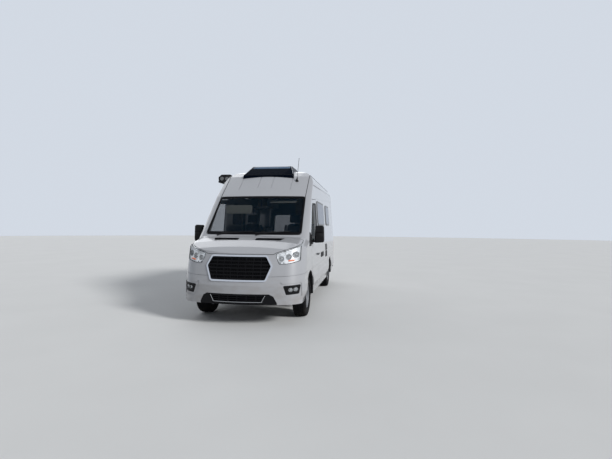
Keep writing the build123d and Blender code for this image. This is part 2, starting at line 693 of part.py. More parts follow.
# Floor, inner wheel arches and the wall in front of the cab
ARCH_IN = 500
HOUSE_X = 700
HOUSE_T = 15
BOARD_T = 20
DOOR_CLEAR_X = 945
STEP_Z = 830
CAB_END = DOOR_REAR + GAP
liner_band = drum(ARCH_IN, FAR, FRONT_AXLE, WHEEL_R, FRONT_ARCH_R)
liner_band = liner_band - drum(ARCH_IN + LINER, FAR, FRONT_AXLE, WHEEL_R, FRONT_ARCH_R - LINER)
liner_band = liner_band & block(ARCH_IN, FAR, FRONT_AXLE - 500, FRONT_AXLE + 500, DOOR_LOW_Z, 900)
arch_liners = both(liner_band & inner)
house = drum(HOUSE_X - HOUSE_T, FAR, REAR_AXLE, WHEEL_R, REAR_ARCH_R + HOUSE_T)
house_shell = house - drum(HOUSE_X, FAR, REAR_AXLE, WHEEL_R, REAR_ARCH_R)
house_shell = house_shell & block(0, FAR, REAR_AXLE - 600, REAR_AXLE + 600, DOOR_LOW_Z, 1000) & inner
floor_pan = inner & (
    bay(-DOOR_CLEAR_X, DOOR_CLEAR_X, CAB_FLOOR, CAB_END, FLOOR_Z - FLOOR_T, FLOOR_Z)
    + bay(-FAR, FAR, CAB_END, REAR_FACE - REAR_WALL - 10, FLOOR_Z - FLOOR_T, FLOOR_Z)
)
floor_pan = floor_pan - house - mirrored(house) + house_shell + mirrored(house_shell)
floor_pan = floor_pan + (inner & (
    bay(-DOOR_CLEAR_X, DOOR_CLEAR_X, FIREWALL, FIREWALL + BOARD_T, STEP_Z, 1340)
    + bay(-DOOR_CLEAR_X, DOOR_CLEAR_X, FIREWALL, CAB_FLOOR, STEP_Z, STEP_Z + BOARD_T)
    + bay(-DOOR_CLEAR_X, DOOR_CLEAR_X, CAB_FLOOR, CAB_FLOOR + BOARD_T, FLOOR_Z, STEP_Z + BOARD_T)
))

# Chassis: rails with their inner and outer face, ends, and height; cross-members between them
RAIL_IN, RAIL_OUT = 410, 480
RAIL_ENDS = (260, 5780)
RAIL_Z = (500, 620)
CROSS_STATIONS = (260, 1600, 2900, 4000, 5500)
CROSS_W = 70
JACK_STATION, JACK_HALF, JACK_T = 2200, 35, 12
jack_ends = (JACK_STATION - JACK_HALF, JACK_STATION + JACK_HALF)
rail = bay(RAIL_IN, RAIL_OUT, *RAIL_ENDS, *RAIL_Z)
rail = rail + bay(RAIL_IN, RAIL_OUT, *jack_ends, RAIL_Z[0] - JACK_T, RAIL_Z[0])
cross = [bay(-RAIL_IN, RAIL_IN, s, s + CROSS_W, RAIL_Z[0] + 20, RAIL_Z[1] - 20) for s in CROSS_STATIONS]
chassis = rail + mirrored(rail) + cross

SUBFRAME = (900, 1150)
SUBFRAME_Z = (300, 360)
ARM_Z = (205, 243)
BALL_PIN_R = 12
STRUT_TOP = (600, FRONT_AXLE + 20, 900)
STRUT_FOOT = (630, FRONT_AXLE, ARM_Z[0] + 10)
SPRING_FOOT = (620, FRONT_AXLE + 7, 480)
subframe = bay(-RAIL_OUT, RAIL_OUT, *SUBFRAME, *SUBFRAME_Z)
post = bay(RAIL_IN, RAIL_OUT, *SUBFRAME, SUBFRAME_Z[0], RAIL_Z[0])
arm_plan = poly([
    (420, st(960)),
    (KINGPIN_X + 22, FRONT_AXLE - 30),
    (KINGPIN_X + 22, FRONT_AXLE + 30),
    (420, st(1090)),
])
arm = bay(420, RAIL_OUT, 960, 1090, ARM_Z[0], SUBFRAME_Z[0]) + prism_z(arm_plan, *ARM_Z)
BALL_PIN = (KINGPIN_X, FRONT_AXLE)
arm = arm + rod((*BALL_PIN, ARM_Z[0] + 5), (*BALL_PIN, SUBFRAME_Z[0]), BALL_PIN_R)
strut = rod(STRUT_FOOT, STRUT_TOP, 30) + rod(SPRING_FOOT, STRUT_TOP, 48)
strut = strut & drum(0, FAR, FRONT_AXLE, WHEEL_R, FRONT_ARCH_R - LINER)
corner = post + arm + strut
subframe = subframe + corner + mirrored(corner)

engine_block = soft(-290, 290, 520, 1120, 360, 1080, 30)
radiator = bay(-390, 390, 340, 400, 460, 1030) + bay(-RAIL_OUT, RAIL_OUT, 350, 390, 460, RAIL_Z[0])

# Rear axle with its leaf springs, drawn as arcs over the axle: (half length, end height, middle height)
HUB_R = 28
HUB_END = 880
LEAF_LOW = (700, 480, 420)
LEAF_HIGH = (640, 500, 445)
axle = drum(-740, 740, REAR_AXLE, WHEEL_R, 45) + drum(-110, 110, REAR_AXLE, WHEEL_R, 130)


def leaf_arc(half, end, middle):
    """Arc of a leaf spring seen from the side."""
    return ThreePointArc((REAR_AXLE - half, end), (REAR_AXLE, middle), (REAR_AXLE + half, end))


spring_face = make_face([
    leaf_arc(*LEAF_LOW),
    Polyline((REAR_AXLE + 700, 480), (REAR_AXLE + 700, 500), (REAR_AXLE + 640, 500)),
    leaf_arc(*LEAF_HIGH),
    Polyline((REAR_AXLE - 700, 480), (REAR_AXLE - 700, 500), (REAR_AXLE - 640, 500)),
])
spring = prism_x(spring_face, RAIL_IN, RAIL_OUT)
spring = spring + block(RAIL_IN, RAIL_OUT, REAR_AXLE - 60, REAR_AXLE + 60, WHEEL_R, 430)
axle = axle + spring + mirrored(spring) + drum(-HUB_END, HUB_END, REAR_AXLE, WHEEL_R, HUB_R)

knuckle_left = block(728, 775, FRONT_AXLE - 60, FRONT_AXLE + 60, 266, 446)
knuckle_left = knuckle_left + drum(760, HUB_END, FRONT_AXLE, WHEEL_R, HUB_R)
knuckle_left = knuckle_left + block(728, 765, FRONT_AXLE + 40, FRONT_AXLE + 140, 320, 392)
knuckle_left = knuckle_left - rod((*BALL_PIN, 260), (*BALL_PIN, SUBFRAME_Z[0] + 5), BALL_PIN_R + RUN)

# Exhaust along the left rail: (first station, last station, radius) of each length
PIPE_X, PIPE_Z = 300, 400
PIPES = [(1250, 2700, 32), (2600, 3300, 95), (3300, 3900, 32)]
HANGERS = (2680, 3280)
exhaust = None
for s0, s1, radius in PIPES:
    pipe = rod((PIPE_X, st(s0), PIPE_Z), (PIPE_X, st(s1), PIPE_Z), radius)
    exhaust = pipe if exhaust is None else exhaust + pipe
for station in HANGERS:
    exhaust = exhaust + bay(PIPE_X - 15, PIPE_X + 15, station, station + 20, PIPE_Z, FLOOR_Z - FLOOR_T)
tanks = group(
    soft(520, 930, 1700, 2700, 340, FLOOR_Z - FLOOR_T, 20),
    soft(-930, -520, 3500, 4230, 340, FLOOR_Z - FLOOR_T, 20),
)

# Wheels. Outlines as (distance from the wheel's middle, radius)
TREAD = [(-80, RIM_R), (-105, 220), (-117, 262), (-114, 305), (-102, 342), (-84, WHEEL_R)]
RIM_BARREL = [(-80, RIM_R), (-98, RIM_R + 8), (-98, RIM_R - 6), (-70, RIM_R - 14)]
RIM_DISC = [
    (-76, 0),
    (-76, 150),
    (-52, 150),
    (-52, 70),
    (20, 70),
    (20, 98),
    (56, 124),
    (56, 136),
    (18, 184),
    (18, 192),
    (28, 192),
    (66, 142),
    (66, 120),
    (30, 96),
    (30, 62),
    (48, 54),
    (48, 0),
]
VENTS, VENT_R, VENT_CIRCLE = 12, 17, 158
VENT_REACH = (TRACK_HALF, TRACK_HALF + 75)
BORE_END = 18


def turned(points, y):
    """Outline turned about the axis of a left wheel."""
    return Pos(TRACK_HALF, y, WHEEL_R) * revolve(Plane.XZ * poly(points), Axis.X)


def wheel(y):
    """Tyre and rim of a left wheel."""
    tyre = turned(TREAD + [(-a, r) for a, r in reversed(TREAD)], y)
    rim = turned(RIM_BARREL + [(-a, r) for a, r in reversed(RIM_BARREL)], y) + turned(RIM_DISC, y)
    vents = [
        drum(*VENT_REACH, y + at.position.X, WHEEL_R + at.position.Y, VENT_R)
        for at in PolarLocations(VENT_CIRCLE, VENTS)
    ]
    rim = rim - vents - drum(TRACK_HALF - 100, TRACK_HALF + BORE_END, y, WHEEL_R, HUB_R + RUN)
    return tyre - rim, rim


tyre_front, rim_front = wheel(FRONT_AXLE)
tyre_rear, rim_rear = wheel(REAR_AXLE)

# Cab: dashboard outline seen from the side, with its instrument hood in front of the driver
DASH = [
    (800, 1380),
    (1240, 1388),
    (1400, 1368),
    (1462, 1330),
    (1490, 1240),
    (1430, 1090),
    (1395, 960),
    (1220, 960),
    (1220, 1345),
    (800, 1345),
]
HOOD = [(1330, 1370), (1500, 1438), (1512, 1425), (1470, 1330)]
HOOD_HALF = 200
SEAT_X = 470
WHEEL_AT = (SEAT_X, st(1640), 1290)
TILT = math.radians(35)
COLUMN_WAY = (0, math.cos(TILT), math.sin(TILT))
COLUMN_R = 10
STEER_R = 190
STEER_T = 16
dashboard = prism_x(poly(seen_from_side(DASH)), -DOOR_CLEAR_X, DOOR_CLEAR_X) & inner
dashboard = dashboard + prism_x(poly(seen_from_side(HOOD)), SEAT_X - HOOD_HALF, SEAT_X + HOOD_HALF)


def along_column(distance):
    """Point on the steering column's axis, at a distance from the steering wheel's middle."""
    return tuple(a + distance * b for a, b in zip(WHEEL_AT, COLUMN_WAY))


dashboard = dashboard + rod(along_column(-280), along_column(-62), 40)
dashboard = dashboard - rod(along_column(-140), along_column(-60), COLUMN_R + RUN)
steer_plane = Plane(origin=WHEEL_AT, x_dir=(1, 0, 0), z_dir=COLUMN_WAY)
steering_wheel = steer_plane * Torus(STEER_R, STEER_T)
steering_wheel = steering_wheel + rod(along_column(-55), along_column(-5), 48)
steering_wheel = steering_wheel + rod(along_column(-130), along_column(-30), COLUMN_R)
for turn in (0, 180, 270):
    spoke = Rot(0, 0, turn) * Pos(STEER_R / 2, 0, -12) * Box(STEER_R, 34, 16)
    steering_wheel = steering_wheel + steer_plane * spoke

# Cab seats seen from the side: (station, height), with the half width and the edge radius of each part
SEAT_PARTS = [
    ([(1850, 985), (1838, 1085), (1880, 1112), (2200, 1072), (2330, 1082), (2330, 960)], 240, 24),
    ([(2235, 1050), (2350, 1010), (2420, 1200), (2520, 1660), (2430, 1690), (2330, 1420)], 230, 24),
    ([(2445, 1640), (2530, 1640), (2572, 1850), (2500, 1868)], 130, 24),
]
SEAT_BOX = (200, 1900, 2300, FLOOR_Z, 1000)


def cab_seat(x):
    """Front seat on its box, facing the nose."""
    half, s0, s1, z0, z1 = SEAT_BOX
    seat = bay(x - half, x + half, s0, s1, z0, z1)
    for line, half, radius in SEAT_PARTS:
        cushion = prism_x(poly(seen_from_side(line)), x - half, x + half)
        seat = seat + fillet(cushion.edges(), radius)
    return seat


cab_seats = both(cab_seat(SEAT_X))


# Living space
def against(x0, x1, s0, s1, z0, z1):
    """Box cut to the inside of the body."""
    return inner & bay(x0, x1, s0, s1, z0, z1)


BED_TOP_Z, BED_T, BED_HALF = 1380, 200, 925
BED_FRONT, BED_REAR = 4460, 5800
BED_LEGS = (4480, 5700)
LEG_T, LEG_HALF = 40, 640
WALL_T = 20
# Pieces of the fittings: x, stations and heights, each from low to high
BENCH_BASE = (330, 990, 3000, 3460, FLOOR_Z, 1100)
BENCH_BACK = (330, 990, 3380, 3470, 1100, 1680)
TABLE_TOP = (420, 930, 2560, 2940, 1340, 1368)
TABLE_LEG = (640, 700, 2720, 2780, FLOOR_Z, 1340)
KITCHEN = (-990, -470, 3660, 4300, FLOOR_Z, 1530)
WORKTOP = (-990, -450, 3650, 4310, 1530, 1560)
WASH_ROOM = (300, 990, 3490, 4300, FLOOR_Z, 2500)
WASH_DOOR = (299, 321, 3620, 4120, 700, 2300)
LOCKER = (640, 1000, 4420, 5790, 2120, 2480)
bench_seat = against(*BENCH_BASE) + against(*BENCH_BACK)
dinette_table = bay(*TABLE_TOP) + bay(*TABLE_LEG)
kitchen_unit = against(*KITCHEN) + against(*WORKTOP)
x0, x1, s0, s1, z0, z1 = WASH_ROOM
wash_space = against(x0 + WALL_T, x1, s0 + WALL_T, s1 - WALL_T, z0 + WALL_T, z1 - WALL_T)
wash_room = against(*WASH_ROOM) - wash_space - bay(*WASH_DOOR)
overhead_lockers = both(against(*LOCKER))
bed = bay(-BED_HALF, BED_HALF, BED_FRONT, BED_REAR, BED_TOP_Z - BED_T, BED_TOP_Z)
for station in BED_LEGS:
    bed = bed + bay(-LEG_HALF, LEG_HALF, station, station + LEG_T, FLOOR_Z, BED_TOP_Z - BED_T)

# Roof fittings. Roof window seen from the side, (station, height), and from the front, (x, height)
SKY_SIDE = [(1950, 2560), (1962, 2622), (2330, 2858), (2850, 2862), (2925, 2820), (2940, 2640)]
SKY_FRONT = [(535, 2560), (525, 2622), (430, 2862)]
SKY_R = 14
skylight = prism_x(poly(seen_from_side(SKY_SIDE)), -FAR, FAR)
skylight = skylight & prism_y(poly(both_ways(SKY_FRONT)), st(SLIDE_FRONT - 600), st(SLIDE_REAR))
skylight = fillet(skylight.edges(), SKY_R) - outer
roof_vent = soft(-250, 250, 4100, 4600, 2700, 2850, 25) - outer


def roof_z(x, station):
    """Height of the roof's skin over a point of the plan."""
    probe = outer & block(x - 1, x + 1, st(station) - 1, st(station) + 1, ROOF_LOW_Z, HIGH)
    return probe.bounding_box().max.Z


MAST = (610, 1900)
MAST_TIP = (640, st(1960), 2965)
FIN = (-600, 3100)
FIN_LINE = [(-70, -30), (-10, 78), (28, 78), (60, -30)]
mast_z = roof_z(*MAST)
mast = rod((MAST[0], st(MAST[1]), mast_z - 30), (MAST[0] + 2, st(MAST[1] + 5), mast_z + 70), 12)
mast = mast + rod((MAST[0] + 1, st(MAST[1] + 3), mast_z + 40), MAST_TIP, 4)
fin_z = roof_z(*FIN)
fin_face = poly([(st(FIN[1] + along), fin_z + up) for along, up in FIN_LINE])
aerials = group(mast - outer, prism_x(fin_face, FIN[0] - 10, FIN[0] + 10) - outer)

# Awning case along the right roof edge, seen from the front, with its end caps and brackets
AWNING = [(-880, 2562), (-1050, 2505), (-1150, 2545), (-1160, 2630), (-1090, 2684), (-885, 2684)]
AWNING_R = 24
AWNING_ENDS = (2250, 5450)
AWNING_CAP = (30, 4)
AWNING_BRACKETS = (2500, 3850, 5200)
BRACKET_X, BRACKET_W, BRACKET_Z = (-900, -780), 60, (2560, 2650)
awning_face = rounded(AWNING, AWNING_R)
awning = prism_y(awning_face, st(AWNING_ENDS[0]), st(AWNING_ENDS[1]))
cap_t, cap_out = AWNING_CAP
for station in (AWNING_ENDS[0] - cap_t, AWNING_ENDS[1]):
    awning = awning + prism_y(offset(awning_face, cap_out), st(station), st(station + cap_t))
for station in AWNING_BRACKETS:
    awning = awning + bay(*BRACKET_X, station, station + BRACKET_W, *BRACKET_Z)
awning = awning - outer
entry_step = bay(-915, -600, 2400, 3460, 340, 372)
for station in (2400, 3420):
    entry_step = entry_step + bay(-740, -600, station, station + 40, 340, FLOOR_Z - FLOOR_T)

# Rear bumper: a step with rounded corners on a beam let into the rear wall
STEP_TOP_Z = 545
rear_bumper = bay(-1010, 1010, REAR_FACE + 0.001, LENGTH, 420, STEP_TOP_Z)
rear_bumper = fillet(rear_bumper.edges().filter_by(Axis.Z), 40)
rear_bumper = rear_bumper + bay(-960, 960, REAR_FACE - 60, REAR_FACE + 5, 440, STEP_TOP_Z - 5)

# Mirrors: a tall housing on an arm from a three-cornered base at the front of the door's glass
MIRROR = [(1066, 1284), (1228, 1296), (1237, 1340), (1230, 1580), (1200, 1603), (1078, 1598)]
MIRROR_STATIONS = (1185, 1300)
MIRROR_R = 22
MIRROR_BASE = [(1168, 1262), (1168, 1440), (1330, 1262)]
mirror_left = prism_y(poly(MIRROR), st(MIRROR_STATIONS[0]), st(MIRROR_STATIONS[1]))
mirror_left = fillet(mirror_left.edges(), MIRROR_R)
mirror_left = mirror_left + soft(985, 1090, 1200, 1250, 1300, 1345, 12)
base = prism_x(poly(seen_from_side(MIRROR_BASE)), INSIDE, FAR) & proud
mirror_left = (mirror_left + base) - outer

# Wipers lie along the foot of the windscreen: (inner x, outer x, height at each) of each blade
WIPERS = [(-560, 20, 1452, 1476), (80, 660, 1452, 1480)]
WIPER_W = 16
wiper_band = (proud - outer) & bay(-FAR, FAR, 700, 1100, 1445, 1510)
wipers = []
for x0, x1, z0, z1 in WIPERS:
    face = poly([(x0, z0), (x1, z1), (x1, z1 + WIPER_W), (x0, z0 + WIPER_W)])
    wipers.append(wiper_band & prism_y(face, st(700), st(1100)))

nodes = {
    "body_side_left": left,
    "body_side_right": right,
    "roof_panel": roof_panel,
    "sliding_door": sliding_door,
    "fender_left": fender_left,
    "fender_right": mirrored(fender_left),
    "front_bumper": front_bumper,
    "grille_surround": grille_surround,
    "grilles": group(grille, valance, fog_bezels),
    "lamp_lenses": lamp_lenses,
    "lamp_bodies": lamp_bodies,
    "cowl_panel": cowl_panel,
    "windscreen": windscreen,
    "bonnet": bonnet,
    "cab_door_left": cab_door_left,
    "cab_door_right": mirrored(cab_door_left),
    "door_glass_left": door_glass_left,
    "door_glass_right": mirrored(door_glass_left),
    "rear_door_left": rear_door_left,
    "rear_door_right": mirrored(rear_door_left),
    "rear_glass_left": rear_glass_left,
    "rear_glass_right": mirrored(rear_glass_left),
    "floor_pan": floor_pan,
    "arch_liners": arch_liners,
    "chassis_rails": chassis,
    "front_subframe": subframe,
    "engine_and_radiator": group(engine_block, radiator),
    "rear_axle": axle,
    "exhaust": exhaust,
    "tanks": tanks,
    "knuckle_left": knuckle_left,
    "knuckle_right": mirrored(knuckle_left),
    "tyre_front_left": tyre_front,
    "tyre_front_right": mirrored(tyre_front),
    "tyre_rear_left": tyre_rear,
    "tyre_rear_right": mirrored(tyre_rear),
    "rim_front_left": rim_front,
    "rim_front_right": mirrored(rim_front),
    "rim_rear_left": rim_rear,
    "rim_rear_right": mirrored(rim_rear),
    "dashboard": dashboard,
    "steering_wheel": steering_wheel,
    "cab_seats": cab_seats,
    "bench_seat": bench_seat,
    "dinette_table": dinette_table,
    "cabinets": group(kitchen_unit, wash_room, overhead_lockers),
    "bed": bed,
    "skylight": skylight,
    "roof_vent": roof_vent,
    "aerials": aerials,
    "awning": awning,
    "entry_step": entry_step,
    "rear_bumper": rear_bumper,
    "tail_lamps": tail_lamps,
    "wipers": group(*wipers),
    "mirror_left": mirror_left,
    "mirror_right": mirrored(mirror_left),
    "window_frames": group(*frames),
    "camper_panes": group(*panes),
}
for name, shape in nodes.items():
    export_step(group(shape), "parts/" + name + ".step")
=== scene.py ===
import json
import logging
import math
from dataclasses import dataclass
from enum import Enum
from typing import Any, Optional, Sequence, Tuple

import bmesh
import bpy
import numpy as np
from mathutils import Matrix, Vector


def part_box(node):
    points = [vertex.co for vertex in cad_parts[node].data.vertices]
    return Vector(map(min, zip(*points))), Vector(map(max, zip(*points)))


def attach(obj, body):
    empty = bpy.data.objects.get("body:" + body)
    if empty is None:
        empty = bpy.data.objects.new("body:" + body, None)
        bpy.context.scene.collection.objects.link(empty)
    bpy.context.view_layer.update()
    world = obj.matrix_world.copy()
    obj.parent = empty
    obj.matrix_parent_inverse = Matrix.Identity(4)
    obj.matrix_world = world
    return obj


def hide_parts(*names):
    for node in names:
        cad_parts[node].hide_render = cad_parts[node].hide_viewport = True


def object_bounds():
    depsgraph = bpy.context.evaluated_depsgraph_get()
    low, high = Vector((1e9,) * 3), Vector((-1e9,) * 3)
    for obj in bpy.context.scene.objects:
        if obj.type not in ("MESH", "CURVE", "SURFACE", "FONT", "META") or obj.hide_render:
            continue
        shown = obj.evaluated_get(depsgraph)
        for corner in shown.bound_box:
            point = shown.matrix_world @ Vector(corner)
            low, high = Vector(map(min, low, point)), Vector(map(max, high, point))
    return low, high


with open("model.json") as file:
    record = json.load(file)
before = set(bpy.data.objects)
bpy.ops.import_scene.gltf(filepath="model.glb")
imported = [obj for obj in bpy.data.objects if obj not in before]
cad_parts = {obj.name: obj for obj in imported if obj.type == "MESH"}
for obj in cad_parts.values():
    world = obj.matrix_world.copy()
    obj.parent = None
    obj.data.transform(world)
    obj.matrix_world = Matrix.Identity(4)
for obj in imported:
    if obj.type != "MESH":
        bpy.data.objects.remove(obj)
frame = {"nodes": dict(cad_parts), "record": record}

LOG = logging.getLogger("camper_van")
CAD_LOW, CAD_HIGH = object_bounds()
NOSE_Y = CAD_LOW.y
# Distance beside the van, and height above it, from which points are set down on its skin.
BESIDE = 1.3
ABOVE = 3.1

Colour = Tuple[float, float, float]
SIDES = (("left", 1.0), ("right", -1.0))


def station(metres: float) -> float:
    """Y of a place given as its distance behind the nose."""
    return NOSE_Y + metres


class Number:
    """A number inside a shader: arithmetic on it adds Math nodes."""

    def __init__(self, book: "NodeBook", socket: bpy.types.NodeSocket) -> None:
        """Wraps one output socket of a node.

        Args:
            book: The node book that the socket belongs to.
            socket: The output socket that carries the number.
        """
        self.book = book
        self.socket = socket

    def join(self, operation: str, first: Any, second: Any = 0.0) -> "Number":
        """Adds one Math node.

        Args:
            operation: Blender's name of the operation.
            first: Left value or number.
            second: Right value or number.

        Returns:
            The result as a number.
        """
        node = self.book.add("ShaderNodeMath", {"operation": operation}, {0: first, 1: second})
        return Number(self.book, node.outputs[0])

    def __add__(self, other: Any) -> "Number":
        """Sum."""
        return self.join("ADD", self, other)

    def __radd__(self, other: Any) -> "Number":
        """Sum with the number on the right."""
        return self.join("ADD", other, self)

    def __sub__(self, other: Any) -> "Number":
        """Difference."""
        return self.join("SUBTRACT", self, other)

    def __rsub__(self, other: Any) -> "Number":
        """Difference with the number on the right."""
        return self.join("SUBTRACT", other, self)

    def __mul__(self, other: Any) -> "Number":
        """Product."""
        return self.join("MULTIPLY", self, other)

    def __rmul__(self, other: Any) -> "Number":
        """Product with the number on the right."""
        return self.join("MULTIPLY", other, self)

    def __truediv__(self, other: Any) -> "Number":
        """Quotient."""
        return self.join("DIVIDE", self, other)

    def __abs__(self) -> "Number":
        """Absolute value."""
        return self.join("ABSOLUTE", self)

    def smaller(self, other: Any) -> "Number":
        """The lower of two numbers."""
        return self.join("MINIMUM", self, other)

    def larger(self, other: Any) -> "Number":
        """The higher of two numbers."""
        return self.join("MAXIMUM", self, other)

    def step(self, low: float, high: float) -> "Number":
        """A smooth step from 0 to 1.

        Args:
            low: Value at which the step starts.
            high: Value at which it ends; lower than `low` for a falling step.

        Returns:
            The step as a number from 0 to 1.
        """
        rising = high > low
        ends = {1: min(low, high), 2: max(low, high), 3: 0.0 if rising else 1.0, 4: 1.0 if rising else 0.0}
        settings = {"interpolation_type": "SMOOTHSTEP"}
        node = self.book.add("ShaderNodeMapRange", settings, {0: self, **ends})
        return Number(self.book, node.outputs[0])


class NodeBook:
    """One material's node tree, with one method through which every node is made."""

    def __init__(self, name: str, world: Optional[bpy.types.World] = None) -> None:
        """Starts an empty material, or takes the world's own tree.

        Args:
            name: Name of the material.
            world: World whose nodes are made instead of a material's.
        """
        self.material = world or bpy.data.materials.new(name)
        self.material.use_nodes = True
        self.tree = self.material.node_tree
        self.tree.nodes.clear()

    def add(self, kind: str, settings: Optional[dict] = None,
            values: Optional[dict] = None) -> bpy.types.Node:
        """Makes a node.

        Args:
            kind: Blender's type name of the node.
            settings: Properties of the node, set first; `stops` holds a colour ramp's stops.
            values: Input sockets by name or index, each with a value or a link.

        Returns:
            The node.
        """
        node = self.tree.nodes.new(kind)
        for key, value in (settings or {}).items():
            if key == "stops":
                self.fill_ramp(node, value)
            else:
                setattr(node, key, value)
        for key, value in (values or {}).items():
            if isinstance(value, Number):
                self.tree.links.new(value.socket, node.inputs[key])
            elif isinstance(value, bpy.types.NodeSocket):
                self.tree.links.new(value, node.inputs[key])
            else:
                node.inputs[key].default_value = value
        return node

    def fill_ramp(self, node: bpy.types.Node, stops: Sequence[tuple]) -> None:
        """Sets a colour ramp's stops.

        Args:
            node: The colour ramp node.
            stops: Pairs of a position and a colour.
        """
        elements = node.color_ramp.elements
        while len(elements) < len(stops):
            elements.new(1.0)
        for element, (position, colour) in zip(elements, stops):
            element.position = position
            element.color = (*colour, 1.0)

    def place(self, scale: Sequence[float] = (1.0, 1.0, 1.0)) -> bpy.types.NodeSocket:
        """Object coordinates, stretched.

        Args:
            scale: Factor along each axis.

        Returns:
            The vector socket.
        """
        coordinates = self.add("ShaderNodeTexCoord").outputs["Object"]
        if tuple(scale) == (1.0, 1.0, 1.0):
            return coordinates
        return self.add("ShaderNodeMapping", None, {"Vector": coordinates, "Scale": scale}).outputs[0]

    def axes(self) -> list:
        """X, Y and Z of the object coordinates as numbers."""
        split = self.add("ShaderNodeSeparateXYZ", None, {0: self.place()})
        return [Number(self, socket) for socket in split.outputs]

    def noise(self, scale: float, detail: float = 3.0, stretch: Sequence[float] = (1.0, 1.0, 1.0)) -> Number:
        """Cloudy noise around 0.5.

        Args:
            scale: Number of features per metre.
            detail: Octaves.
            stretch: Factor along each axis.

        Returns:
            The noise as a number.
        """
        values = {"Vector": self.place(stretch), "Scale": scale, "Detail": detail}
        return Number(self, self.add("ShaderNodeTexNoise", None, values).outputs[0])

    def cells(self, scale: float, stretch: Sequence[float] = (1.0, 1.0, 1.0)) -> Number:
        """Distance to the nearest of scattered points, as in leather or grained plastic."""
        values = {"Vector": self.place(stretch), "Scale": scale}
        return Number(self, self.add("ShaderNodeTexVoronoi", None, values).outputs["Distance"])

    def blend(self, factor: Any, first: Any, second: Any) -> bpy.types.NodeSocket:
        """Mix of two colours.

        Args:
            factor: Share of the second colour, from 0 to 1.
            first: Colour or link at factor 0.
            second: Colour or link at factor 1.

        Returns:
            The colour socket.
        """
        colours = [(*c, 1.0) if isinstance(c, tuple) and len(c) == 3 else c for c in (first, second)]
        values = {"Factor": factor, 6: colours[0], 7: colours[1]}
        return self.add("ShaderNodeMix", {"data_type": "RGBA"}, values).outputs[2]

    def bump(self, height: Number, depth: float, strength: float = 1.0) -> bpy.types.NodeSocket:
        """Normal of a surface with small relief.

        Args:
            height: Relief as a number around 0 to 1.
            depth: Metres for a height of 1.
            strength: Share of the relief that shows.

        Returns:
            The normal socket.
        """
        values = {"Height": height, "Distance": depth, "Strength": strength}
        return self.add("ShaderNodeBump", None, values).outputs[0]

    def surface(self, **values: Any) -> bpy.types.Material:
        """Ends the tree in a Principled shader.

        Args:
            **values: Its sockets, with spaces written as underscores.

        Returns:
            The finished material.
        """
        sockets = {key.replace("_", " "): value for key, value in values.items()}
        shader = self.add("ShaderNodeBsdfPrincipled", None, sockets)
        self.add("ShaderNodeOutputMaterial", None, {0: shader.outputs[0]})
        return self.material


@dataclass(frozen=True)
class BodyPaint:
    """Two-coat body paint with a clear coat and dust low down, black on the handles."""

    name: str
    colour: Colour
    dust: Colour = (0.20, 0.17, 0.14)
    dust_top: float = 0.95
    dust_full: float = 0.38
    dust_share: float = 0.34
    handle_x: float = 1.0305
    handle_edge: float = 0.0008
    black: Colour = (0.016, 0.016, 0.018)

    def material(self) -> bpy.types.Material:
        """Builds the paint, black where a handle stands proud of the side."""
        book = NodeBook(self.name)
        x, _, height = book.axes()
        cloud = book.noise(1.6, 2.0)
        streaks = book.noise(7.0, 5.0, (1.0, 0.35, 2.2))
        deep = tuple(0.93 * c for c in self.colour)
        tone = book.blend(cloud, deep, self.colour)
        film = height.step(self.dust_top, self.dust_full) * streaks.step(0.30, 0.72) * self.dust_share
        base = book.blend(film, tone, self.dust)
        handle = abs(x).step(self.handle_x, self.handle_x + self.handle_edge)
        peel = book.noise(160.0, 1.0) * 0.6 + book.noise(900.0, 0.0) * 0.4
        return book.surface(
            Base_Color=book.blend(handle, base, self.black),
            Roughness=0.34 + film * 0.8 + handle * 0.2,
            Coat_Weight=(1.0 - film * 2.0) * (1.0 - handle * 0.8),
            Coat_Roughness=0.06,
            Normal=book.bump(peel, 0.00012, 0.5),
        )


@dataclass(frozen=True)
class Plastic:
    """Moulded plastic with a fine grain and paler, scuffed patches."""

    name: str
    colour: Colour
    roughness: float = 0.5
    grain: float = 500.0
    depth: float = 0.0003
    wear: float = 0.12
    clearcoat: float = 0.0
    gloss: float = 0.4

    def material(self) -> bpy.types.Material:
        """Builds the plastic."""
        book = NodeBook(self.name)
        patches = book.noise(5.0, 4.0).step(0.42, 0.78)
        faded = tuple(c + self.wear * (0.35 - c) for c in self.colour)
        relief = book.cells(self.grain) * 0.7 + book.noise(self.grain * 0.5, 2.0) * 0.3
        return book.surface(
            Base_Color=book.blend(patches, self.colour, faded),
            Roughness=self.roughness + patches * 0.12,
            Coat_Weight=self.clearcoat,
            Coat_Roughness=0.08,
            Specular_IOR_Level=self.gloss,
            Normal=book.bump(relief, self.depth, 0.6),
        )


@dataclass(frozen=True)
class Metal:
    """Bare or plated metal with pits and duller stains."""

    name: str
    colour: Colour
    roughness: float = 0.3
    metallic: float = 1.0
    stain: Colour = (0.12, 0.10, 0.08)
    stain_share: float = 0.3
    pitting: float = 60.0
    depth: float = 0.0004

    def material(self) -> bpy.types.Material:
        """Builds the metal."""
        book = NodeBook(self.name)
        patches = book.noise(11.0, 6.0).step(0.45, 0.75) * self.stain_share
        relief = book.noise(self.pitting, 6.0)
        return book.surface(
            Base_Color=book.blend(patches, self.colour, self.stain),
            Metallic=self.metallic - patches * self.metallic * 0.7,
            Roughness=self.roughness + patches * 0.4 + relief * 0.06,
            Normal=book.bump(relief, self.depth, 0.5),
        )


